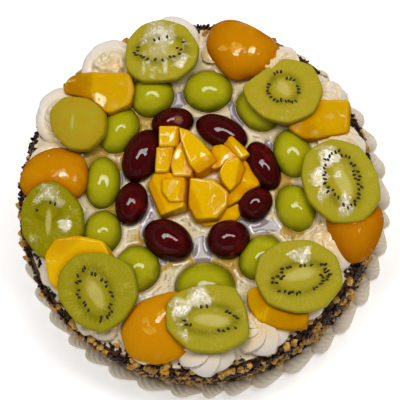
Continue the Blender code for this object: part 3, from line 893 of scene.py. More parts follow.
KIWI_SLICES = (
    Slice("kiwi_slice_1", Spot(-19, 92, 14.5, lean=3), 1.0, 0.4,
          ((-24, -11), (-13, -20), (9, -19), (21, -9), (23, 3), (14, 17), (-2, 22), (-15, 18), (-24, 7)),
          SeedRing((-1, 1, 16, 8.5, 5),
            ((163, 200, 5, 1.05), (200, 245, 4, 0.97), (250, 335, 8, 0.85), (335, 372, 4, 0.75),
             (25, 40, 2, 1.05), (70, 120, 5, 0.9))),
          Core((2, -1, 9, 3, 10), 0.5), 0.1,
          ((-2, 9, 14, 0.85), (-4, -2, 10, 0.75), (12, -6, 8, 0.6), (-4, -14, 8, 0.6))),
    Slice("kiwi_slice_2", Spot(58, 65, 15.0, lean=2), 0.5, 0.4,
          ((-11, 10), (-8, 16), (-25, 3), (-22, -8), (-12, -18), (4, -22), (20, -15), (26, 0), (19, 16),
           (1, 21)),
          SeedRing((1, 0.5, 9.8, 9, 0),
            ((-22, 18, 8, 1.0), (-65, -42, 4, 1.15), (-115, -55, 10, 0.95), (160, 212, 10, 1.05),
             (212, 250, 7, 1.0), (38, 78, 9, 0.85), (95, 120, 6, 1.25))),
          Core((1, 0.5, 6.5, 4.2, -55), 0.75), -0.3),
    Slice("kiwi_slice_3", Spot(95, 6, 15.0, lean=4), 1.0, 0.4,
          ((-22, 18), (-25, 3), (-20, -14), (-5, -27), (14, -26), (25, -12), (23, 5), (12, 22), (-6, 27)),
          SeedRing((0.5, 0, 17, 10.5, 108),
            ((-40, 75, 17, 1.05), (-30, 35, 8, 0.86), (78, 132, 9, 1.08), (130, 215, 12, 1.0),
             (215, 262, 7, 0.8), (262, 312, 8, 1.05))),
          Core((1, -1, 12, 4.5, -66), 0.9), -0.1,
          ((-9, 15, 8, 0.95), (-13, 2, 7, 0.85), (-10, -8, 6, 0.75), (2, -16, 7, 0.8), (-2, 3, 4, 0.6))),
    Slice("kiwi_slice_4", Spot(68, -55, 14.5, lean=2), 0.5, 0.4,
          ((-24, 13), (-27, -2), (-19, -17), (-1, -23), (16, -20), (28, -5), (24, 13), (8, 23), (-11, 22)),
          SeedRing((1.5, -1, 16.5, 9.5, 12),
            ((163, 205, 9, 1.0), (160, 190, 5, 0.78), (120, 158, 6, 0.95), (225, 278, 12, 1.0),
             (-55, -20, 10, 0.95), (-25, 25, 14, 1.08), (-15, 15, 6, 0.86), (28, 48, 5, 1.1),
             (60, 105, 6, 0.85))),
          Core((2, 1, 11.5, 4.2, 14), 0.8), 0.0, ((4, 14, 6, 1.0), (-2, 12, 4, 0.8))),
    Slice("kiwi_slice_5", Spot(11, -82, 15.0, lean=-3), 0.5, 0.4,
          ((-26, 9), (-25, -7), (-10, -20), (10, -21), (26, -12), (25, 5), (17, 20), (-1, 22), (-17, 18)),
          SeedRing((1.5, -0.5, 17, 9, 0),
            ((178, 200, 2, 1.0), (205, 222, 3, 0.85), (92, 110, 2, 1.0), (18, 40, 2, 0.9), (-5, 14, 2, 1.05),
             (-45, -25, 3, 1.1), (-68, -55, 2, 0.95))),
          Core((3.5, -1.3, 12, 4.2, -6), 0.95), 0.15,
          ((-16, 7, 8, 1.0), (-6, 14, 9, 0.8), (-18, -8, 7, 0.5))),
    Slice("kiwi_slice_6", Spot(-59, -64, 14.5, lean=3), 1.0, 0.4,
          ((-25, 12), (-25, -4), (-13, -20), (3, -26), (17, -18), (26, -3), (22, 16), (4, 25), (-14, 25)),
          SeedRing((-1, -1.5, 16, 10.5, 110),
            ((110, 145, 4, 1.12), (72, 100, 3, 0.9), (20, 60, 4, 0.85), (-35, 15, 5, 1.0),
             (-60, -35, 5, 1.1), (-85, -62, 4, 1.05), (150, 200, 5, 1.0), (205, 250, 5, 0.9))),
          Core((-1, -1, 11, 5.0, -62), 0.75), 0.5),
    Slice("kiwi_slice_7", Spot(-90, -16, 13.5, lean=7), 2.5, 0.4,
          ((-12, 21), (-20, 8), (-19, -10), (-7, -25), (10, -25), (21, -10), (20, 6), (11, 18), (0, 25)),
          SeedRing((-1, 4, 8, 6, 0), ((45, 90, 3, 1.0), (170, 175, 1, 1.0))),
          Core((-0.5, -3, 9, 2.2, 88), 0.8), 0.9,
          ((0, 18, 7, 0.8), (8, 9, 5, 0.7), (10, -5, 5, 0.8), (-8, 12, 5, 0.6), (-9, -14, 4, 0.6))),
    Slice("kiwi_end_slice", Spot(-74, 46, 13.0, lean=6), 2.0, 3.0,
          ((-19, 9), (-17, -5), (-6, -17), (8, -18), (18, -8), (18, 6), (7, 16), (-10, 18)),
          None, Core((-2, -1, 6, 1.4, 86), 0.7), -0.5),
)


@dataclass
class KiwiSlices:
    """The peeled kiwi slices that lie over the border, and their seeds."""

    thickness: float = 7.0
    steps: int = 12
    flat: float = 0.42
    seed_length: float = 2.7
    seed_width: float = 1.55
    seed_space: float = 1.9
    seed_rise: float = 0.12
    coarse: float = 0.16
    fine: float = 0.05
    # Share of the outline and share of the thickness, from the middle of the underside to that of the top
    profile: tuple[Point, ...] = (
        (0.3, 0.0), (0.6, 0.0), (0.85, 0.0), (0.94, 0.01), (0.98, 0.08), (1.0, 0.24), (1.004, 0.42),
        (1.0, 0.62), (0.992, 0.8), (0.975, 0.93), (0.95, 0.99), (0.92, 1.0), (0.88, 1.0), (0.82, 1.0),
        (0.76, 1.0), (0.7, 1.0), (0.63, 1.0), (0.56, 1.0), (0.49, 1.0), (0.42, 1.0), (0.35, 1.0),
        (0.28, 1.0), (0.21, 1.0), (0.14, 1.0), (0.07, 1.0),
    )

    def top(self, cut: Slice, share: Array | float) -> Array | float:
        """Height of a slice's top over its base, at a share of the way to its rim."""
        out = np.clip(np.asarray(share) / 0.94, 0.0, 1.07)
        return self.thickness + cut.crown * (1 - out**2.2) - cut.droop * out**3.5

    def build(self) -> None:
        """Makes each slice and then all the seeds."""
        flesh = KiwiFinish().material()
        for number, cut in enumerate(KIWI_SLICES):
            obj = self.slice(cut, number)
            dress(obj, flesh, [cut.name])
        finish = SEEDS.material()
        dress(self.all_seeds(finish), finish)

    def slice(self, cut: Slice, number: int) -> Piece:
        """One slice, with its markings held by its points.

        Args:
            cut: Its form and markings.
            number: The seed of its unevenness.

        Returns:
            The slice, in place.
        """
        outline = blunt(cut.corners, self.steps, self.flat)
        reach = np.hypot(*outline.T)
        even = reach / np.mean([np.roll(reach, k) for k in range(-self.steps, self.steps + 1)], 0)
        even = even / even.max()
        rows = []
        for share, rise in self.profile:
            lift = (self.top(cut, share * even) - self.thickness) * (1.0 if rise > 0.5 else 0.0)
            rim = -cut.droop if rise <= 0.5 else 0.0
            rows.append(np.column_stack([outline * share, self.thickness * rise + lift + rim * min(1.0, share)
                                         + np.zeros(len(outline))]))
        rings = np.stack(rows)
        rough = ripples(rings, 5.0, number) * self.coarse + ripples(rings, 1.7, number + 9) * self.fine
        rings[..., 2] += rough * (np.array([r for _, r in self.profile]) > 0.5)[:, None]
        poles = np.array([(0.0, 0.0, 0.0), (0.0, 0.0, float(self.top(cut, 0.0)))])
        points = np.vstack([rings.reshape(-1, 3), poles])
        shares = np.concatenate([np.outer([s for s, _ in self.profile], even).ravel(), [0.0, 0.0]])
        values = {"local": points, "share": shares, "core": self.paleness(points, cut.core),
                  "ring": self.seed_band(points, cut.seeds), "smear": self.smear(points, cut.smears),
                  "ripe": np.full(len(points), cut.ripe)}
        obj = surface(f"{cut.name}_flesh", rings, poles[0], poles[1], values)
        obj.data.transform(cut.spot.matrix())
        return obj

    @staticmethod
    def paleness(points: Array, core: Core) -> Array:
        """The core's strength at each point."""
        return core.strength * (1 - smooth(0.55, 1.35, reach_in(points, core.oval)))

    @staticmethod
    def seed_band(points: Array, seeds: SeedRing | None) -> Array:
        """How near each point is to the ring of seeds.

        Args:
            points: The points on a slice.
            seeds: Its seeds, if it has any.

        Returns:
            The nearness, 1 on the ring.
        """
        if seeds is None:
            return np.zeros(len(points))
        return np.exp(-(((reach_in(points, seeds.oval) - 1) / 0.24) ** 2))

    @staticmethod
    def smear(points: Array, smears: Sequence[Smear]) -> Array:
        """How much creamy glaze each point has.

        Args:
            points: The points on a slice.
            smears: Its smears.

        Returns:
            The amounts, 0 on the underside.
        """
        amount = np.zeros(len(points))
        for x, y, width, strength in smears:
            far = np.hypot(points[:, 0] - x, points[:, 1] - y) / width
            amount = np.maximum(amount, strength * np.exp(-far * far))
        return amount * (points[:, 2] > 3.0)

    def seed_shape(self) -> Piece:
        """One seed: a small teardrop that lies along X.

        Returns:
            The seed, to be copied.
        """
        rows, columns = 5, 8
        rings = []
        for row in range(1, rows + 1):
            along = math.pi * row / (rows + 1)
            girth = self.seed_width / 2 * math.sin(along) * (1 + 0.3 * math.cos(along))
            turn = around(columns)
            rings.append(np.column_stack([np.full(columns, -self.seed_length / 2 * math.cos(along)),
                                          girth * np.cos(turn), 0.6 * girth * np.sin(turn)]))
        return surface("seed_shape", np.stack(rings) * MM, (-self.seed_length / 2 * MM, 0, 0),
                       (self.seed_length / 2 * MM, 0, 0))

    def all_seeds(self, finish: Material) -> Piece:
        """Every seed of every slice, half sunk into the flesh, by one scatter along the seed rings.

        Args:
            finish: The seeds' material.

        Returns:
            The joined seeds.
        """
        rng = random.Random(SEED)
        spots, turns, sizes = [], [], []
        for cut in KIWI_SLICES:
            matrix = cut.spot.matrix()
            outline = blunt(cut.corners, 4, self.flat)
            taken: list[Point] = []
            for start, end, count, row in cut.seeds.arcs if cut.seeds else ():
                middle_x, middle_y, long, wide, heading = cut.seeds.oval
                turn = math.radians(heading)
                for k in range(count):
                    angle = math.radians(start + (end - start) * (k + rng.uniform(0.1, 0.9)) / count)
                    out = row + rng.uniform(-0.09, 0.09)
                    along = long * out * math.cos(angle - turn)
                    across = wide * out * math.sin(angle - turn)
                    x = middle_x + along * math.cos(turn) - across * math.sin(turn)
                    y = middle_y + along * math.sin(turn) + across * math.cos(turn)
                    if any(math.hypot(x - other[0], y - other[1]) < self.seed_space for other in taken):
                        continue
                    taken.append((x, y))
                    share = math.hypot(x, y) / self.rim(outline, math.atan2(y, x))
                    spots.append(matrix @ Vector((x, y, float(self.top(cut, share)) + self.seed_rise)))
                    turns.append((0.0, 0.0, math.atan2(y, x) + rng.uniform(-0.5, 0.5)))
                    sizes.append((rng.uniform(0.8, 1.15), rng.uniform(0.85, 1.15), 1.0))
        return Scatter("kiwi_seeds_all", self.seed_shape()).on_points(spots, turns, sizes, finish)

    @staticmethod
    def rim(outline: Array, angle: float) -> float:
        """Distance from a slice's middle to its rim.

        Args:
            outline: The points of the rim.
            angle: The direction, in radians.

        Returns:
            The distance.
        """
        angles = np.arctan2(outline[:, 1], outline[:, 0])
        nearest = np.argmin(np.abs((angles - angle + math.pi) % (2 * math.pi) - math.pi))
        return float(np.hypot(*outline[nearest]))


@dataclass(frozen=True)
class Half:
    """One apricot half, cut side down: where it lies, its height, its widest ring, paleness and wet spots
    with painted highlights.
    """

    spot: Spot
    height: float
    corners: tuple[Point, ...]
    tone: float = 0.0
    wet: tuple[Oval, ...] = ()


# This table and those below are in the order of their nodes' numbers
APRICOT_HALVES = (
    Half(Spot(32, 94, 7.5, lean=6), 13.5,
         ((-24, 4), (-18, -9), (-7, -19.5), (4, -18.5), (18, -12), (24, 1), (12, 13), (-7, 21.5), (-20, 17)),
         -0.1, ((-12.7, -1.2, 3.2, 2.4, 10), (-4.3, -2, 4.2, 4.0, 70), (6, -4, 4.0, 2.2, 80))),
    Half(Spot(-90.5, 13, 6.0, lean=6), 12.5,
         ((-23, -4), (-14, -16), (4, -19), (19, -13), (23, -1), (19, 12), (3, 19), (-16, 12)),
         0.0, ((1.5, 1.4, 1.6, 1.2, 0), (10, -2.5, 3.4, 2.2, -30))),
    Half(Spot(-21, -86, 6.0, lean=4), 13.0,
         ((16, 22), (-1, 21), (-17, 13), (-24, -2), (-18, -18), (0, -23), (19, -15), (24, 4)), 0.4,
         ((-4.2, -1.5, 4.5, 3.0, -20), (2.7, 6.9, 4.5, 2.4, 60), (-7, 4.5, 2.6, 2.0, 40))),
    Half(Spot(103, -24, 6.5, lean=8), 12.5,
         ((-18, 8), (-13, -10), (-2, -21), (10, -16), (18, 0), (17, 14), (3, 22), (-12, 19)), -0.35),
)


@dataclass(frozen=True)
class Block:
    """One cut block of mango: its place, form, paleness, partly painted shade, and wet spots with painted
    highlights.

    Its top rises by an angle towards +X and by another towards +Y. Its ridge gives how far out the ridge
    lies, the slopes before and after it, and which way out is.
    """

    spot: Spot
    thickness: float
    rise_x: float
    rise_y: float
    corners: tuple[Point, ...]
    ridge: tuple[float, float, float, float] = (0.0, 0.0, 0.0, 0.0)
    tone: float = 0.0
    wet: tuple[Oval, ...] = ()


MANGO_SLABS = (
    Block(Spot(-61, 67, 6.0), 12.0, 4, 3,
          ((-24, 1), (-6, -5), (6, -15), (20, -9), (23, 0), (20, 12), (6, 12), (-4, 13), (-19, 12),
           (-24, 7)), (-3.0, 0.28, 0.06, 0), 0.05, ((1.4, -5.5, 5.5, 3.2, -35), (-16, 8.5, 8, 0.8, 4))),
    Block(Spot(81, 47, 6.0), 11.5, -2, 5,
          ((-8, -13), (5, -12), (19, -9), (20, 12), (2, 12), (-12, 7), (-20, -5)),
          (4.0, 0.12, 0.0, 10), -0.15, ((15, 1.7, 2.2, 0.8, -10),)),
    Block(Spot(-73, -45, 4.0), 16.0, 2, 8,
          ((-21, 5), (-18, -12), (-13, -17), (2, -17), (20, -10), (22, 4), (18, 13), (0, 17), (-14, 15)),
          tone=0.6, wet=((-17.5, 0.5, 4, 1.2, -5),)),
    # This slab's low tone is painted shade from the kiwi slice that lies over it.
    Block(Spot(55, -73, 6.0), 10.0, -3, 6,
          ((-19, 10), (-19, 0), (-12, -10), (3, -15), (17, -14), (20, -2), (14, 8), (-4, 14)), tone=-0.45),
)

MANGO_CHUNKS = (
    Block(Spot(-14, 37), 18.5, -6, 3, ((-7, -7), (5, -7), (6, 6), (-7, 6)),
          (2.8, 0.0, 0.5, -8), 0.0, ((2.0, 0.9, 6, 1.0, 68),)),
    Block(Spot(4, 27), 18.0, -12, -3,
          ((-11, 7), (-5, -9), (0, -15), (12, -6), (2, 6), (-6, 13), (-12, 15)),
          (5.0, 0.0, 0.4, -60), 0.1, ((4.0, -4.4, 3.6, 2.0, -50),)),
    Block(Spot(-7, 23), 16.0, 4, 3,
          ((-4, 5), (-7, -3), (-5, -12), (6, -12), (8, -6), (0, 11)),
          (0.0, 0.0, 0.35, 10), 0.0, ((-2.4, 1.8, 4.5, 1.5, 80),)),
    Block(Spot(-18, 22), 15.5, 6, 4, ((-6, -8), (2, -8), (5, -2), (6, 8), (-5, 8)),
          (2.5, 0.0, 0.3, 0), -0.1),
    Block(Spot(28, 31), 15.0, 10, 3,
          ((-9, 2), (-3, -5), (3, -9), (9, -6), (-5, 9), (-9, 7)),
          (-1.0, 0.3, 0.3, 35), 0.0, ((1.8, -4.1, 5, 1.0, -58),)),
    Block(Spot(26, 11), 17.5, -8, 6,
          ((-6, -4), (-1, -10), (5, -4), (8, 5), (4, 11), (-4, 9), (-8, 2)), (2.0, 0.0, 0.5, -10)),
    Block(Spot(21, 23), 13.0, 4, -2,
          ((-11, -2), (-8, -7), (0, -5), (10, -1), (6, 4), (-2, 9), (-8, 8)),
          (-2.0, 0.2, 0.0, 0), -0.1, ((-1.0, -1.0, 4, 1.2, 45), (-7, -4, 2.5, 1.2, 60))),
    Block(Spot(-12, 2), 17.0, 6, -2, ((-7, -1), (-2, -8), (7, -8), (8, 6), (-7, 7)),
          (3.5, 0.0, 0.4, 0), 0.0, ((-0.4, 1.3, 7, 2.4, 66),)),
    Block(Spot(11, -4), 15.5, -8, 6,
          ((-13, -4), (-8, -13), (5, -12), (12, -3), (12, 5), (3, 12), (-12, 13)),
          (-6.0, 0.4, 0.1, 20), 0.0, ((2.2, -5.6, 2, 0.9, -50),)),
    Block(Spot(-17, 0), 13.0, 10, -6,
          ((-3, -14), (12, -9), (12, 10), (1, 14), (-8, 14), (-12, 6)), (-3.0, 0.3, 0.0, 25), -0.1),
    Block(Spot(32, 7), 13.0, -12, -4,
          ((-3, -2), (-10, -10), (-9, -15), (2, -9), (11, -1), (9, 8), (1, 15)), (1.0, 0.3, 0.1, 70), -0.1),
    Block(Spot(18, -15), 6.5, 4, 8,
          ((-12, -5), (7, -4), (12, 1), (12, 9), (0, 4), (-14, 1)), tone=-0.25),
)


@dataclass(frozen=True)
class Grape:
    """One grape: its middle, length, width, heading, and where its stalk was if that shows."""

    x: float
    y: float
    length: float
    width: float
    heading: float
    scar: Point | None = None


GREEN_GRAPES = (
    Grape(-28, 66, 31, 29, 20),
    Grape(9, 69, 34, 29, 0),
    Grape(41, 55.5, 34, 25, -45),
    Grape(64, 27, 35, 26, -75),
    Grape(66, -9, 34, 26, -65),
    Grape(44, -41, 33, 28, 50),
    Grape(8, -60, 40, 34, 0),
    Grape(-36, -48, 32, 31, 60),
    Grape(-59, -24, 31, 26, 80),
    Grape(-59.5, 9, 36, 25, 88),
    Grape(-49, 43.5, 34, 26, 60),
)

RED_GRAPES = (
    Grape(-14, 48, 28, 20, 10, (4.4, -0.6)),
    Grape(18, 41.3, 36, 21, -25),
    Grape(-33.5, 26, 36.5, 24, 66),
    Grape(-40, -5, 29, 21, 78),
    Grape(45, 19, 34, 20, -65),
    Grape(40, -6, 24, 21, 50),
    Grape(-16, -29, 34, 25, -28),
    Grape(23, -29, 28, 25, 10),
)


@dataclass
class RoundFruit:
    """Apricot halves and grapes: domes, or most of an egg, over an outline."""

    columns: int = 64
    rows: int = 22
    green_height: float = 0.54
    apricot_sink: float = 8.0
    green_sink: float = 5.0
    red_sink: float = 30.0
    lump_width: float = 11.0
    lumps: float = 0.35
    wave_width: float = 4.5
    glaze_waves: float = 0.16
    scar_width: float = 2.6

    def build(self) -> None:
        """Makes the apricot halves, then the green and the red grapes."""
        flesh = APRICOT.material()
        for number, half in enumerate(APRICOT_HALVES):
            name, outline = f"apricot_half_{number + 1}", rounded(half.corners, 8)
            obj = self.dome(name, outline, half.height, self.apricot_sink, number, half.wet)
            hold(obj.data, "tone", np.full(len(obj.data.vertices), half.tone))
            obj.data.transform(half.spot.matrix())
            dress(obj, flesh, [name])
        turn = around(self.columns)
        circle = np.column_stack([np.cos(turn), np.sin(turn)])
        for grapes, finish, slot in ((GREEN_GRAPES, GREEN_GRAPE, "green_grape"),
                                     (RED_GRAPES, RED_GRAPE, "red_grape")):
            skin = finish.material()
            for number, grape in enumerate(grapes):
                outline = circle * (grape.length / 2, grape.width / 2)
                if slot == "green_grape":
                    height, sink = self.green_height * grape.width, self.green_sink
                else:
                    sink = self.red_sink
                    height = grape.width * 0.5 * (1 + math.sin(math.radians(sink)))
                name = f"{slot}_{number + 1}"
                obj = self.dome(name, outline, height, sink, number + 20, waves=self.glaze_waves)
                if grape.scar:
                    points = np.array([vertex.co for vertex in obj.data.vertices])
                    away = np.hypot(points[:, 0] - grape.scar[0], points[:, 1] - grape.scar[1])
                    hold(obj.data, "scar", np.exp(-((away / self.scar_width) ** 2)))
                obj.data.transform(Spot(grape.x, grape.y, 0.0, grape.heading).matrix())
                dress(obj, skin, [name])

    def dome(self, name: str, outline: Array, height: float, sink: float, number: int,
             wet: Sequence[Oval] = (), waves: float = 0.0) -> Piece:
        """One dome, under a glaze.

        Args:
            name: The node that it stands for.
            outline: Its widest ring.
            height: Its height.
            sink: How many degrees below the widest ring its sides start.
            number: The seed of its unevenness.
            wet: Its wet spots.
            waves: Height of the glaze's waves.

        Returns:
            The dome, in its own millimetres.
        """
        low = -math.radians(sink)
        rows = [np.column_stack([outline * share, np.zeros(len(outline))]) for share in (0.5, 0.9)]
        climbs = low + (math.pi / 2 - low) * np.arange(self.rows) / self.rows
        for climb in climbs:
            rise = (math.sin(climb) - math.sin(low)) / (1 - math.sin(low))
            rows.append(np.column_stack([outline * math.cos(climb), np.full(len(outline), height * rise)]))
        rings = np.stack(rows)
        lift = smooth(0.0, 0.3 * height, rings[..., 2])
        wobble = ripples(rings, self.lump_width, number) * self.lumps
        wobble = (wobble + ripples(rings, self.wave_width, number + 50) * waves) * lift
        middle = np.array((0.0, 0.0, 0.3 * height))
        away = rings - middle
        rings += away / np.linalg.norm(away, axis=-1, keepdims=True) * wobble[..., None]
        top = (0.0, 0.0, float(rings[-1, :, 2].mean()) + 0.02)
        points = np.vstack([rings.reshape(-1, 3), [(0.0, 0.0, 0.0), top]])
        values = {"local": points + number * PATTERN_STEP, "height": np.clip(points[:, 2] / height, 0, 1),
                  "wet": within(points, wet)}
        return surface(f"{name}_fruit", rings, (0, 0, 0), top, values)


@dataclass
class MangoPieces:
    """The mango slabs on the border and the pile of chunks in the middle."""

    slab_fillet: float = 3.0
    chunk_fillet: float = 1.3
    slab_edge: float = 1.8
    chunk_edge: float = 1.2
    slab_splay: float = 0.8
    chunk_splay: float = 2.6
    slab_uneven: float = 0.5
    chunk_uneven: float = 0.25

    def build(self) -> None:
        """Makes every slab and every chunk."""
        flesh = MANGO.material()
        for number, block in enumerate(MANGO_SLABS):
            name = f"mango_slab_{number + 1}"
            obj = self.block(name, block, self.slab_fillet, self.slab_edge, self.slab_splay, number,
                             self.slab_uneven)
            dress(obj, flesh, [name])
        flesh = CHUNK_MANGO.material()
        for number, block in enumerate(MANGO_CHUNKS):
            name = f"mango_chunk_{number + 1}"
            obj = self.block(name, block, self.chunk_fillet, self.chunk_edge, self.chunk_splay, number + 5,
                             self.chunk_uneven)
            dress(obj, flesh, [name])

    @staticmethod
    def block(name: str, block: Block, fillet: float, edge: float, splay: float, number: int,
              uneven: float) -> Piece:
        """One cut block with rounded edges, walls that lean in and slightly uneven faces.

        Args:
            name: The node that it stands for.
            block: Its place and form.
            fillet: How far its corners are rounded, seen from above.
            edge: How far its upper edge is rounded.
            splay: How much further out its foot lies than its top.
            number: The seed of its unevenness.
            uneven: Height of its unevenness.

        Returns:
            The block, in place.
        """
        outline = filleted(block.corners, fillet, 2.0)
        reach = np.hypot(outline[:, 0], outline[:, 1])
        slope_x, slope_y = (math.tan(math.radians(rise)) for rise in (block.rise_x, block.rise_y))
        at, before, after, heading = block.ridge
        out = np.array((math.cos(math.radians(heading)), math.sin(math.radians(heading))))
        stages = [(0.0, 2.0, 1.0), (0.0, 0.5, 1.0), (0.04, 0.0, 1.0)]
        stages += [(share, 0.0, 1.0) for share in np.linspace(0.15, 1 - edge / block.thickness, 6)]
        for k in range(1, 6):
            bend = math.pi / 2 * k / 5
            drop = edge * (1 - math.sin(bend)) / block.thickness
            stages.append((1 - drop, edge * (1 - math.cos(bend)), 1.0))
        stages += [(1.0, edge, scale) for scale in (0.9, 0.75, 0.6, 0.45, 0.3, 0.15)]
        rows = []
        for share, inset, scale in stages:
            keep = np.clip(1 - inset / reach, 0.0, 1.0) * scale + splay * (1 - share) / reach
            flat = outline * keep[:, None]
            top = block.thickness + slope_x * flat[:, 0] + slope_y * flat[:, 1]
            top -= np.maximum(at - flat @ out, 0) * before + np.maximum(flat @ out - at, 0) * after
            rows.append(np.column_stack([flat, top * share]))
        rings = np.stack(rows)
        lift = smooth(0.0, 0.4 * block.thickness, rings[..., 2])
        away = rings / np.linalg.norm(rings * (1, 1, 0.6) + 1e-9, axis=-1, keepdims=True)
        rings += away * (ripples(rings, 7.0, number) * uneven * lift)[..., None]
        top = (0.0, 0.0, float(rings[-1, :, 2].mean()))
        points = np.vstack([rings.reshape(-1, 3), [(0.0, 0.0, 0.0), top]])
        beyond = points[:, :2] @ out - at
        # Facets that slope away from a ridge lower the tone, which the material paints as shade.
        facet = before * smooth(0.0, 1.5, -beyond) + after * smooth(0.0, 1.5, beyond)
        values = {"local": points + number * PATTERN_STEP,
                  "height": np.clip(points[:, 2] / block.thickness, 0, 1),
                  "tone": block.tone - 1.3 * facet, "wet": within(points, block.wet),
                  "edge": np.concatenate([np.repeat([0.1 < inset < edge for _, inset, _ in stages],
                                                    len(outline)), [0.0, 0.0]])}
        obj = surface(f"{name}_flesh", rings, (0, 0, 0), top, values)
        obj.data.transform(block.spot.matrix())
        return obj


# Scatter


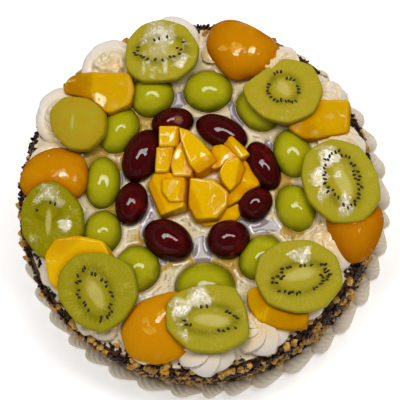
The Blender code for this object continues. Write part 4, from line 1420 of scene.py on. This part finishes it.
class Scatter:
    """Copies of one small shape, made real by a geometry tree with named inputs."""

    lumps_per_metre: float = 330.0

    def __init__(self, name: str, shape: Piece) -> None:
        """Starts the tree.

        Args:
            name: The name of the piece to make.
            shape: The shape to copy. It is removed afterwards.
        """
        self.name = name
        self.shape = shape
        group = bpy.data.node_groups.new(f"{name}_tree", "GeometryNodeTree")
        group.is_modifier = True
        self.tree = Tree(group)
        self.identifiers: dict[str, str] = {}
        for key, kind in (("Geometry", "Geometry"), ("Shape", "Object"), ("Finish", "Material")):
            self.input(key, kind)
        group.interface.new_socket("Geometry", in_out="OUTPUT", socket_type="NodeSocketGeometry")
        self.given = self.tree.node("NodeGroupInput")

    def input(self, name: str, kind: str) -> None:
        """Adds a named input to the tree."""
        made = self.tree.nodes.interface.new_socket(name, in_out="INPUT", socket_type=f"NodeSocket{kind}")
        self.identifiers[name] = made.identifier

    def between(self, low: Any, high: Any) -> Socket:
        """A random number for each copy, from the tree's seed."""
        sockets = {"Min": low, "Max": high, "Seed": self.given.outputs["Seed"]}
        return self.tree.node("FunctionNodeRandomValue", {"data_type": "FLOAT"}, sockets).outputs[1]

    def copies(self, points: Any, rotation: Any, scale: Any) -> Socket:
        """The shape on every point, made real.

        Args:
            points: The points.
            rotation: How each copy is turned.
            scale: How each copy is scaled.

        Returns:
            The joined copies.
        """
        source = self.tree.node("GeometryNodeObjectInfo", {}, {"Object": self.given.outputs["Shape"]})
        placed = self.tree.node("GeometryNodeInstanceOnPoints", {}, {
            "Points": points, "Instance": source.outputs["Geometry"], "Rotation": rotation,
            "Scale": scale})
        return self.tree.node("GeometryNodeRealizeInstances", {}, {"0": placed.outputs[0]}).outputs[0]

    def run(self, carrier: Piece, result: Any, settings: dict[str, Any]) -> Piece:
        """Evaluates the tree on a carrier and hands over the plain mesh that comes out.

        Args:
            carrier: The object whose mesh the tree starts from. It is removed afterwards.
            result: The geometry that the tree gives before its material is set.
            settings: Values of the named inputs.

        Returns:
            A new object with the real mesh.
        """
        painted = self.tree.node("GeometryNodeSetMaterial", {}, {
            "Geometry": result, "Material": self.given.outputs["Finish"]})
        out = self.tree.node("NodeGroupOutput")
        self.tree.nodes.links.new(painted.outputs[0], out.inputs[0])
        bpy.context.scene.collection.objects.link(carrier)
        modifier = carrier.modifiers.new("scatter", "NODES")
        modifier.node_group = self.tree.nodes
        for key, value in {"Shape": self.shape, **settings}.items():
            modifier[self.identifiers[key]] = value
        evaluated = carrier.evaluated_get(bpy.context.evaluated_depsgraph_get())
        mesh = bpy.data.meshes.new_from_object(evaluated)
        mesh.name = self.name
        carrier.modifiers.remove(modifier)
        bpy.data.objects.remove(carrier)
        bpy.data.objects.remove(self.shape)
        return bpy.data.objects.new(self.name, mesh)

    def on_points(self, spots: Sequence[Sequence[float]], turns: Sequence[Sequence[float]],
                  sizes: Sequence[Sequence[float]], finish: Material) -> Piece:
        """The shape at given spots.

        Args:
            spots: The place of each copy.
            turns: Its turn about each axis, in radians.
            sizes: Its scale along each axis.
            finish: The copies' material.

        Returns:
            The joined copies.
        """
        mesh = bpy.data.meshes.new("spots")
        mesh.from_pydata([tuple(spot) for spot in spots], [], [])
        hold(mesh, "turn", np.array(turns))
        hold(mesh, "size", np.array(sizes))
        points = self.tree.node("GeometryNodeMeshToPoints", {}, {"Mesh": self.given.outputs["Geometry"]})
        turn, size = (self.tree.node("GeometryNodeInputNamedAttribute", {"data_type": "FLOAT_VECTOR"},
                                     {"Name": name}) for name in ("turn", "size"))
        rotation = self.tree.node("FunctionNodeEulerToRotation", {}, {"Euler": turn.outputs[0]})
        result = self.copies(points.outputs[0], rotation.outputs[0], size.outputs[0])
        carrier = bpy.data.objects.new("spots", mesh)
        return self.run(carrier, result, {"Finish": finish})

    def over_surface(self, zone: Piece, density: float, spread: Point, tilt: float,
                     roughen: float, seed: int, finish: Material) -> Piece:
        """The shape scattered over a surface, turned at random in it.

        Args:
            zone: The surface. It is removed afterwards.
            density: Copies to a square metre, which the surface's own "share" multiplies.
            spread: The smallest and the largest scale.
            tilt: The most that a copy leans out of the surface, in radians.
            roughen: How far the points of the copies are pushed about, in metres.
            seed: The seed of everything random.
            finish: The copies' material.

        Returns:
            The joined copies.
        """
        for name in ("Density", "Smallest", "Largest", "Tilt", "Roughen"):
            self.input(name, "Float")
        self.input("Seed", "Int")
        given, node = self.given.outputs, self.tree.node
        share = node("GeometryNodeInputNamedAttribute", {"data_type": "FLOAT"}, {"Name": "share"})
        thinned = node("ShaderNodeMath", {"operation": "MULTIPLY"}, {
            "0": given["Density"], "1": share.outputs[0]})
        spots = node("GeometryNodeDistributePointsOnFaces", {"distribute_method": "RANDOM"},
                     {"Mesh": given["Geometry"], "Density": thinned.outputs[0], "Seed": given["Seed"]})
        lean = node("ShaderNodeMath", {"operation": "MULTIPLY"}, {"0": given["Tilt"], "1": -1.0})
        angles = node("ShaderNodeCombineXYZ", {}, {
            "Y": self.between(lean.outputs[0], given["Tilt"]), "Z": self.between(0.0, 2 * math.pi)})
        by = node("FunctionNodeEulerToRotation", {}, {"Euler": angles.outputs[0]})
        rotation = node("FunctionNodeRotateRotation", {"rotation_space": "LOCAL"}, {
            "Rotation": spots.outputs["Rotation"], "Rotate By": by.outputs[0]})
        size = self.between(given["Smallest"], given["Largest"])
        real = self.copies(spots.outputs["Points"], rotation.outputs[0], size)
        clouds = node("ShaderNodeTexNoise", {}, {"Scale": self.lumps_per_metre, "Detail": 0.0})
        centred = node("ShaderNodeVectorMath", {"operation": "SUBTRACT"}, {
            "0": clouds.outputs["Color"], "1": (0.5, 0.5, 0.5)})
        push = node("ShaderNodeVectorMath", {"operation": "SCALE"}, {
            "0": centred.outputs[0], "Scale": given["Roughen"]})
        moved = node("GeometryNodeSetPosition", {}, {"Geometry": real, "Offset": push.outputs[0]})
        return self.run(zone, moved.outputs[0], {
            "Density": density, "Smallest": spread[0], "Largest": spread[1], "Tilt": tilt,
            "Roughen": roughen, "Seed": seed, "Finish": finish})


# Side and border


@dataclass
class CoatedSide:
    """The cake itself: a dark crumb drum, also painted shade in the gaps, its side hidden by chocolate
    strands and chopped nuts.
    """

    zone_low: float = 3.0
    zone_top_radius: float = 103.0
    strand_length: float = 4.0
    strand_radius: float = 0.8
    strands: float = 100000.0
    nuts: float = 15000.0
    patchy: float = 1.8
    front: float = -75.0
    columns: int = 192

    def build(self) -> None:
        """Makes the drum, then both kinds of coating."""
        dress(self.drum(), CRUMB_AND_GAP_SHADE.material(), ["cake_body"])
        finish = STRANDS.material()
        strands = Scatter("chocolate_strands_all", self.strand()).over_surface(
            self.zone(proud=0.9, foot=1.0, top=0.9, front_bias=0.0), self.strands, spread=(0.75, 1.3),
            tilt=1.0, roughen=0.5 * MM, seed=SEED, finish=finish)
        dress(strands, finish)
        finish = NUTS.material()
        nuts = Scatter("chopped_nuts_all", self.nut()).over_surface(
            self.zone(proud=1.2, foot=0.75, top=0.85, front_bias=0.45), self.nuts, spread=(0.65, 1.55),
            tilt=1.2, roughen=2.6 * MM, seed=SEED + 1, finish=finish)
        nuts.data.shade_flat()
        dress(nuts, finish)

    def profile(self, proud: float, low: float, inner: float) -> list[Point]:
        """The profile up the side and over the shoulder to the top.

        Args:
            proud: How far outside the cake it lies.
            low: Height of its lowest point.
            inner: Radius of its last point, on top.

        Returns:
            Radius and height of each point.
        """
        points = [(CAKE_RADIUS + proud, low + (CAKE_HEIGHT - SHOULDER_RADIUS - low) * k / 6)
                  for k in range(7)]
        for step in range(1, 7):
            angle = math.pi / 2 * step / 6
            reach = SHOULDER_RADIUS + proud
            points.append((CAKE_RADIUS - SHOULDER_RADIUS + reach * math.cos(angle),
                           CAKE_HEIGHT - SHOULDER_RADIUS + reach * math.sin(angle)))
        return points + [(inner, CAKE_HEIGHT + proud)]

    def turned(self, name: str, profile: Sequence[Point], closed: bool) -> Piece:
        """A profile turned round the cake's axis.

        Args:
            name: The object's name.
            profile: Radius and height of each of its points.
            closed: Whether its ends are closed and its side roughened.

        Returns:
            The object.
        """
        rings = lathed(profile, self.columns)
        if closed:
            rough = ripples(rings, 3.0, 2) * 0.35
            rings[..., :2] *= 1 + (rough / CAKE_RADIUS)[..., None]
            return surface(name, rings * MM, (0, 0, profile[0][1] * MM), (0, 0, profile[-1][1] * MM))
        return surface(name, rings * MM)

    def drum(self) -> Piece:
        """The cake under its coating.

        Returns:
            The drum.
        """
        profile = [(CAKE_RADIUS * 0.5, 0.0), (CAKE_RADIUS - 1.0, 0.0), (CAKE_RADIUS - 0.2, 0.8)]
        profile += self.profile(-0.4, 3.0, 60.0)
        return self.turned("crumb_drum", profile, True)

    def zone(self, proud: float, foot: float, top: float, front_bias: float) -> Piece:
        """The surface that one kind of coating is scattered over, patchily.

        Args:
            proud: How far outside the cake it lies.
            foot: Share of the coating at the foot.
            top: Share of the coating at the top.
            front_bias: How much more of it there is at the front.

        Returns:
            The surface, with the share at its points.
        """
        profile = self.profile(proud, self.zone_low, self.zone_top_radius)
        obj = self.turned("zone", profile, False)
        points = np.array([vertex.co for vertex in obj.data.vertices]) / MM
        share = foot + (top - foot) * smooth(5.0, CAKE_HEIGHT, points[:, 2])
        share *= np.maximum(1 + math.copysign(self.patchy, foot - top) * ripples(points, 9.0, 6), 0.1)
        front = math.radians(self.front)
        forward = points[:, 0] * math.cos(front) + points[:, 1] * math.sin(front)
        share *= 1 + front_bias * forward / CAKE_RADIUS
        hold(obj.data, "share", share)
        return obj

    def strand(self) -> Piece:
        """One chocolate strand: a short rod along X with rounded ends.

        Returns:
            The strand, to be copied.
        """
        columns, half = 4, self.strand_length / 2
        turn = around(columns)
        ring = np.column_stack([np.cos(turn), np.sin(turn)]) * self.strand_radius
        rings = [np.column_stack([np.full(columns, x), ring]) for x in (0.6 - half, half - 0.6)]
        return surface("strand_shape", np.stack(rings) * MM, (-half * MM, 0, 0), (half * MM, 0, 0))

    def nut(self) -> Piece:
        """One piece of chopped nut: a coarse lump, roughened later so that no two are alike.

        Returns:
            The nut, to be copied.
        """
        rings = []
        for height, reach, twist in ((-1.3, 1.7, 0.0), (0.1, 2.5, 0.5), (1.3, 1.5, 0.2)):
            turn = around(5) + twist
            rings.append(np.column_stack([reach * np.cos(turn), 0.85 * reach * np.sin(turn),
                                          np.full(5, height)]))
        return surface("nut_shape", np.stack(rings) * MM, (0, 0, -1.4 * MM), (0, 0, 1.4 * MM))


# Angles round the cake at which a shell of the foot has its head, where they can be seen
SHELL_HEADS = (-156, -147, -137, -130, -121, -111, -100, -90, -83, -74, -63, -52, -43, -32, -23, -15, -6, 0,
               10, 19)


@dataclass
class FootBorder:
    """The piped shells round the foot, each with its ridges and its head over the tail before it."""

    outer_radius: float = 126.0
    height: float = 14.0
    shells: int = 40
    length: float = 24.5
    tuck: float = 0.8
    ridges: int = 6
    ridge_depth: float = 0.12
    slant: float = 0.33
    bow: float = 0.14
    # Share of a shell's length that lies behind the point it turns about
    behind: float = 0.56
    bed_columns: int = 240
    bed_waves: float = 0.7

    def build(self) -> None:
        """Makes one shell and lays it round the foot."""
        middle = (CAKE_RADIUS + GAP + self.outer_radius) / 2
        hidden = self.shells - len(SHELL_HEADS)
        gap = (360 + SHELL_HEADS[0] - SHELL_HEADS[-1]) / (hidden + 1)
        heads = [*SHELL_HEADS, *(SHELL_HEADS[-1] + gap * k for k in range(1, hidden + 1))]
        spots, turns, sizes = [], [], []
        for head, after in zip(heads, [*heads[1:], heads[0] + 360]):
            stretch = (after - head) * self.shells / 360
            angle = math.radians(head) + (1 - self.behind) * self.length * stretch / middle
            spots.append((middle * math.cos(angle) * MM, middle * math.sin(angle) * MM, 0.0))
            turns.append((0.0, 0.0, angle - math.pi / 2))
            sizes.append((stretch, 1.0, 1.0))
        finish = FOOT_CREAM.material()
        border = Scatter("foot_shells", self.shell()).on_points(spots, turns, sizes, finish)
        dress(border, finish, ["foot_border"])
        dress(self.bed(middle), finish)

    def bed(self, middle: float) -> Piece:
        """The cream that closes the gaps between the shells and the side.

        Args:
            middle: Radius of the circle that the shells lie on.

        Returns:
            The bed.
        """
        profile = ((CAKE_RADIUS - 0.5, 0.1), (middle + 1.0, 0.1), (middle + 0.5, 2.5), (middle - 1.5, 5.0),
                   (CAKE_RADIUS + 1.5, 8.0), (CAKE_RADIUS - 0.5, 8.5))
        rings = lathed(profile, self.bed_columns)
        rings[2:5] += (ripples(rings[2:5], 5.0, 3) * self.bed_waves)[..., None] * (0, 0, 1)
        return surface("foot_bed", rings * MM, hoop=True)

    def shell(self) -> Piece:
        """One shell along X, head at +X, its foot flat on z = 0.

        Returns:
            The shell, to be copied.
        """
        rows, columns = 34, 56
        half_width = (self.outer_radius - CAKE_RADIUS - GAP) / 2 + self.tuck
        turn = around(columns) - math.pi / 2
        stages = np.arange(1, rows) / rows
        girths = np.sin(math.pi * stages**1.8) ** 0.55 * (0.5 + 0.5 * stages)
        rings = []
        for t, girth in zip(stages, girths / girths.max()):
            phase = self.ridges * (t - self.slant * turn / math.pi - self.bow * np.sin(turn))
            groove = (1 - np.abs(np.sin(math.pi * phase)) ** 0.8) * math.sin(math.pi * t) ** 0.3
            ridge = 1 - self.ridge_depth * groove
            y = half_width * girth * np.cos(turn) * ridge - self.tuck
            z = self.height * (0.4 + 0.6 * np.sin(turn)) * girth * ridge
            rings.append(np.column_stack([np.full(columns, (t - self.behind) * self.length), y,
                                          np.maximum(z, 0.02)]))
        return surface("shell_shape", np.stack(rings) * MM, (-self.behind * self.length * MM, 0, 0.5 * MM),
                       ((1 - self.behind) * self.length * MM, 0, 1.0 * MM))


class Swirl(Enum):
    """How a rosette was piped."""

    PETALS = "overlapping petals from the foot to the tip"
    COIL = "a smooth coil round a broken mound"
    RUMPLED = "petals round a broken middle"


# Each rosette's angle round the cake, reach of its outer rim from the axis, half width along the rim, swirl
ROSETTES = (
    (-3, 113, 19.0, Swirl.PETALS), (17, 116, 19.0, Swirl.RUMPLED), (37, 119, 19.5, Swirl.RUMPLED),
    (57, 116, 19.0, Swirl.RUMPLED), (77, 116, 19.0, Swirl.PETALS), (99, 121, 20.0, Swirl.COIL),
    (123, 120.5, 20.5, Swirl.COIL), (148, 120, 20.5, Swirl.COIL), (169, 111, 19.5, Swirl.COIL),
    (189, 112.5, 19.0, Swirl.PETALS), (210, 113, 19.5, Swirl.PETALS), (232, 114.5, 20.0, Swirl.RUMPLED),
    (254, 114, 20.0, Swirl.PETALS), (275.5, 118, 20.5, Swirl.PETALS), (297, 115, 20.0, Swirl.PETALS),
    (317, 113, 19.5, Swirl.PETALS), (337, 111, 19.0, Swirl.PETALS),
)


@dataclass
class Rosettes:
    """The piped swirls round the top, each a fluted dome whose flutes turn as they climb."""

    height: float = 14.5
    flutes: int = 6
    twist: float = 110.0
    depth: float = 0.2
    step: float = 2.3
    columns: int = 96
    rows: int = 32

    def build(self) -> None:
        """Makes all the rosettes as one piece."""
        parts = [self.rosette(number, *sizes) for number, sizes in enumerate(ROSETTES)]
        vertices = np.vstack([points for points, _, _ in parts])
        faces: list[tuple[int, ...]] = []
        base = 0
        for points, own, _ in parts:
            faces += [tuple(base + i for i in face) for face in own]
            base += len(points)
        mesh = bpy.data.meshes.new("piped_rosettes")
        mesh.from_pydata(vertices.tolist(), [], faces)
        hold(mesh, "stain_and_hollow_shade", np.concatenate([soaked for _, _, soaked in parts]))
        mesh.shade_smooth()
        dress(bpy.data.objects.new("piped_rosettes", mesh), CREAM.material(), ["top_border"])

    def outline(self, climb: float, style: Swirl) -> Point:
        """The outline of a swirl, seen from its side.

        Args:
            climb: How far up the outline, from 0 to 1.
            style: How the rosette was piped.

        Returns:
            Share of the width and share of the height.
        """
        if style is not Swirl.COIL:
            rise = math.sin(math.pi / 2 * climb) ** 1.1
            share = math.sqrt(max(0.0, 1 - rise**2.6))
            return share * (0.86 + 0.14 * float(smooth(0.0, 0.3, np.array(rise)))), rise
        if climb < 0.6:
            bend = math.radians(-55 + 195 * climb / 0.6)
            return 0.79 + 0.21 * math.cos(bend), 0.27 + 0.3 * math.sin(bend)
        inner = (climb - 0.6) / 0.4
        return 0.63 * (1 - inner**1.3), 0.46 + 0.5 * math.sin(math.pi / 2 * inner) ** 0.7

    def rosette(self, number: int, angle: float, reach: float, half_width: float,
                style: Swirl) -> tuple[Array, list[tuple[int, ...]], Array]:
        """One rosette.

        Args:
            number: The seed of its unevenness.
            angle: Its angle round the cake.
            reach: How far from the axis its outer rim lies.
            half_width: Half its width along the cake's rim.
            style: How it was piped.

        Returns:
            Its points in place, its faces, and how far glaze has soaked each point, more in its hollows as
            painted shade.
        """
        half_depth = half_width * 0.95
        turn = around(self.columns)
        rings = []
        for row in range(self.rows):
            climb = row / self.rows
            share, rise = self.outline(climb, style)
            flutes, depth = (3, 0.05) if style is Swirl.COIL else (self.flutes, self.depth)
            phase = (flutes * turn / (2 * math.pi)) % 1.0
            tucked = (1 - phase) ** 1.6 * smooth(0.0, 0.06, phase)
            fluted = share * (1 - depth * tucked * min(1.0, 0.35 + 2.0 * rise))
            spin = turn + math.radians(self.twist) * (1 - share)
            ring = np.column_stack([half_depth * fluted * np.cos(spin), half_width * fluted * np.sin(spin),
                                    np.full(self.columns, self.height * rise)])
            ring[:, 2] -= tucked * self.step * depth / self.depth * min(1.0, 1.5 * rise) * share**0.5
            rings.append(ring)
        stack = np.stack(rings)
        mess = ripples(stack, 4.2, number) * 1.0 + ripples(stack, 2.0, number + 40) * 0.45
        mess -= 2.8 * np.abs(ripples(stack, 5.5, number + 20)) - 0.7
        reached = np.hypot(stack[..., 0], stack[..., 1]) / half_width
        low, high, rate = {Swirl.PETALS: (0.0, 0.5, 0.4), Swirl.COIL: (0.4, 0.75, 2.8),
                           Swirl.RUMPLED: (0.6, 1.1, 1.8)}[style]
        inner = (1 - smooth(low, high, reached)) * rate
        inward = 1 - smooth(86.0, 100.0, stack[..., 0] + reach - half_depth)
        inner = np.maximum(inner, inward * 1.5)
        stack[..., 2] += mess * inner * smooth(0.0, 4.0, stack[..., 2])
        stack[..., :2] += stack[..., :2] / half_width * (ripples(stack, 9.0, number + 80) * 0.6)[..., None]
        stack[..., 2] = np.maximum(stack[..., 2], 0.0)
        obj = surface("rosette", stack, (0, 0, 0), (0, 0, float(stack[-1, :, 2].mean()) + 0.2))
        place = Matrix.Rotation(math.radians(angle), 4, "Z") @ Matrix.Translation(
            ((reach - half_depth) * MM, 0, (CAKE_HEIGHT + GAP) * MM)) @ Matrix.Scale(MM, 4)
        obj.data.transform(place)
        points = np.array([vertex.co for vertex in obj.data.vertices])
        faces = [tuple(polygon.vertices) for polygon in obj.data.polygons]
        bpy.data.objects.remove(obj)
        # Glaze stain in the inner mound, stronger where the relief dips: painted shade in the hollows.
        soaked = np.append((inner * np.clip(0.5 - 0.2 * mess, 0.0, 1.0)).ravel(), [0.0, rate / 2])
        return points, faces, soaked


# Where the glaze lies still enough to mirror the light, and where its colour holds a painted reflection
STILL_GLAZE = (
    (6.6, -35.5, 7.0, 10.0, 0), (41, -19, 13, 6.0, -10), (-30, -12, 13, 4.6, 82), (-24, -38, 9, 4.4, -38),
    (-11, 63, 9, 5.0, 25), (27, 53, 11, 3.6, -62), (-47, 12, 6, 3.2, 75), (49, 31, 7, 2.6, -70),
    (2, 50, 8, 2.4, 5), (-46, -16, 5, 2.6, 60),
)
# Where syrup has soaked the cream
SYRUP = (
    (-34, 46, 12, 6, 20), (-46, 25, 11, 5, 80), (41, -28, 10, 4, 10), (25, -47, 9, 5, -60),
    (-34, -29, 8, 7, 0), (-13, -44, 16, 4, 12), (63, -25, 7, 6, 0), (-52, -10, 7, 5, 60),
    (58, 8, 10, 4, 70), (-66, 28, 8, 6, 0), (12, -45, 8, 4, -20),
)


@dataclass
class GlazedTop:
    """The cream top between the fruit, flooded with glaze that climbs a little up each fruit."""

    radius: float = 111.5
    columns: int = 480
    rows: int = 168
    level: float = 3.6
    lip: float = 1.3
    lip_reach: float = 0.9
    shore: float = 2.6
    line_width: float = 0.5
    line_height: float = 0.4
    seam_width: float = 2.3
    search: float = 6.0
    far: float = 9.0
    depth: float = 1.0
    # Height of the cream in the middle, its swell towards the border and its fall to the rim
    cream: Triple = (3.0, 2.6, 5.6)
    # Radii at which the swell starts, the swell ends and the fall starts
    stages: Triple = (48.0, 84.0, 100.0)

    def distances(self, points: Array, fruit: Sequence[Piece]) -> Array:
        """Distance from each point to the nearest fruit.

        Args:
            points: The points as rows x columns x 3.
            fruit: The pieces of fruit.

        Returns:
            The distances, far where there is no fruit within the search.
        """
        vertices: list[Vector] = []
        faces: list[list[int]] = []
        for obj in fruit:
            base = len(vertices)
            vertices += [vertex.co.copy() for vertex in obj.data.vertices]
            faces += [[base + i for i in polygon.vertices] for polygon in obj.data.polygons]
        tree = BVHTree.FromPolygons(vertices, faces)
        away = np.full(points.shape[:2], self.far)
        for place in np.ndindex(away.shape):
            found = tree.find_nearest(Vector(points[place]) * MM, self.search * MM)
            if found[0] is not None:
                away[place] = found[3] / MM
        return away

    def build(self, fruit: Sequence[Piece]) -> None:
        """Makes the top as one closed mesh.

        Args:
            fruit: The pieces that the glaze meets.
        """
        turn = around(self.columns)
        radii = self.radius * ((np.arange(self.rows) + 1) / self.rows) ** 0.9
        x, y = radii[:, None] * np.cos(turn), radii[:, None] * np.sin(turn)
        flat = np.stack([x, y, np.zeros_like(x)], -1)
        reach = np.hypot(x, y)
        still, syrup = (within(flat, spots) + ripples(flat, 7.0, 11) * 0.25 for spots in (STILL_GLAZE, SYRUP))
        low, swell, fall = self.cream
        first, last, rim = self.stages
        cream = low + swell * smooth(first, last, reach) - fall * smooth(rim, self.radius, reach)
        cream += ripples(flat, 13.0, 3) * 1.0 + ripples(flat, 4.5, 4) * 0.5 + ripples(flat, 2.0, 5) * 0.2
        height = cream + (self.level - cream) * smooth(-0.35, 0.05, still)
        away = self.distances(np.stack([x, y, CAKE_HEIGHT + height], -1), fruit)
        # The line is a low ridge round the fruit, which the glaze's material also paints white as a
        # highlight.
        line = np.exp(-(((away - self.shore) / self.line_width) ** 2))
        line = line * smooth(-0.1, 0.25, ripples(flat, 11.0, 21))
        height = height + self.lip * np.exp(-away / self.lip_reach) + self.line_height * line
        rings = np.stack([x, y, CAKE_HEIGHT + height], -1)
        skirt = np.stack([x[-1], y[-1], np.full(self.columns, CAKE_HEIGHT - self.depth)], -1)
        rings = np.concatenate([rings, skirt[None]], 0)
        middle = (0.0, 0.0, CAKE_HEIGHT + float(height[0].mean()))
        under = (0.0, 0.0, CAKE_HEIGHT - self.depth)
        marks = {"still": still, "syrup": syrup, "near": np.exp(-away / self.seam_width), "line": line}
        values = {key: np.concatenate([held.ravel(), np.zeros(self.columns + 2)])
                  for key, held in marks.items()}
        obj = surface("glazed_cream_top", rings * MM, Vector(middle) * MM, Vector(under) * MM, values)
        dress(obj, PoolFinish().material())


# Studio


@dataclass
class Studio:
    """A pale floor, soft light from above and the camera that looks down on the cake."""

    back: Triple = (0.10395585, -0.18005681, 0.9781476)
    right: Triple = (0.9945369, 0.00946237, -0.10395585)
    aim: Triple = (0.001855, 0.001272, 0.04004)
    distance: float = 1.3
    sensor: float = 36.0
    lens: float = 178.4
    panels: int = 7
    first: float = 30.0
    last: float = 150.0
    spread: float = 26.0
    band: float = 14.0
    reach: float = 1.3
    power: float = 15.6
    fill_climb: float = 20.0
    # Powers of the low lights all round, from the front on towards the right
    fill_powers: tuple[float, ...] = (1.5, 0.5, 0.25, 0.25, 0.3, 0.3, 0.35, 0.8)
    fill_height: float = 0.85
    tint: Colour = (1.0, 0.98, 0.97)
    air: Colour = (1.0, 0.93, 0.84)
    air_strength: float = 0.06
    light_aim: Triple = (0.0, 0.0, 0.06)
    floor_half: float = 4.0

    def build(self) -> None:
        """Makes all of it."""
        scene = bpy.context.scene
        scene.view_settings.view_transform = "Standard"
        back = Vector(self.back).normalized()
        right = Vector(self.right).normalized()
        up = back.cross(right)
        data = bpy.data.cameras.new("camera")
        data.sensor_width, data.lens = self.sensor, self.lens
        camera = bpy.data.objects.new("camera", data)
        scene.collection.objects.link(camera)
        at = Vector(self.aim) + back * self.distance
        camera.matrix_world = self.placed(right, up, back, at)
        scene.camera = camera
        self.floor()
        spread, step = math.radians(self.spread), (self.last - self.first) / (self.panels - 1)
        width = self.reach * math.sin(spread) * math.radians(step)
        for k in range(self.panels):
            turn = math.radians(self.first + step * k)
            aside = right * math.cos(turn) + up * math.sin(turn)
            along = up * math.cos(turn) - right * math.sin(turn)
            self.light(f"key_{k}", back * math.cos(spread) + aside * math.sin(spread), along, width,
                       self.reach * math.radians(self.band), self.power / self.panels)
        low, fills = math.radians(self.fill_climb), len(self.fill_powers)
        for k, power in enumerate(self.fill_powers):
            turn = 2 * math.pi * k / fills - math.pi / 2
            aside = Vector((math.cos(turn), math.sin(turn), 0.0))
            along = Vector((-math.sin(turn), math.cos(turn), 0.0))
            self.light(f"fill_{k}", aside * math.cos(low) + Vector((0, 0, math.sin(low))), along,
                       2 * self.reach * math.tan(math.pi / fills), self.fill_height, power)
        world = bpy.data.worlds.new("studio")
        world.use_nodes = True
        background = world.node_tree.nodes["Background"]
        background.inputs[0].default_value = (*self.air, 1.0)
        background.inputs[1].default_value = self.air_strength
        scene.world = world

    @staticmethod
    def placed(right: Vector, up: Vector, back: Vector, at: Vector) -> Matrix:
        """The place of a camera or light at a point, from its three axes."""
        return Matrix([(right[i], up[i], back[i], at[i]) for i in range(3)] + [(0, 0, 0, 1)])

    def light(self, name: str, away: Vector, along: Vector, width: float, height: float,
              power: float) -> None:
        """One soft box that faces the fruit.

        Args:
            name: Its name.
            away: Direction to it from the fruit.
            along: Direction of its width.
            width: Its width.
            height: Its height.
            power: Its power in watts.
        """
        data = bpy.data.lights.new(name, "AREA")
        data.color = self.tint
        data.shape, data.size, data.size_y, data.energy = "RECTANGLE", width, height, power
        obj = bpy.data.objects.new(name, data)
        at = Vector(self.light_aim) + away * self.reach
        obj.matrix_world = self.placed(along, away.cross(along), away, at)
        bpy.context.scene.collection.objects.link(obj)

    def floor(self) -> None:
        """A wide pale floor."""
        mesh = bpy.data.meshes.new("floor")
        half = self.floor_half
        mesh.from_pydata([(-half, -half, 0), (half, -half, 0), (half, half, 0), (-half, half, 0)], [],
                         [(0, 1, 2, 3)])
        floor = bpy.data.objects.new("floor", mesh)
        paint = Paint("floor", base_color=(0.93, 0.93, 0.93), specular_ior_level=0.1,
                      emission_color=(1.0, 1.0, 1.0), emission_strength=0.35)
        mesh.materials.append(paint.finish(roughness=0.8 + paint.noise(300.0) * 0.1))
        bpy.context.scene.collection.objects.link(floor)
        floor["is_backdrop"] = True


def main() -> None:
    """Builds every piece in order."""
    logging.basicConfig(level=logging.INFO, format="%(message)s", stream=sys.stdout)
    CoatedSide().build()
    FootBorder().build()
    Rosettes().build()
    MangoPieces().build()
    RoundFruit().build()
    KiwiSlices().build()
    touched = [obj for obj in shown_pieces() if obj.name.endswith(("_fruit", "_flesh"))]
    mark_contacts(touched)
    GlazedTop().build(touched)
    Studio().build()
    bpy.context.view_layer.update()


if __name__ == "__main__":
    main()
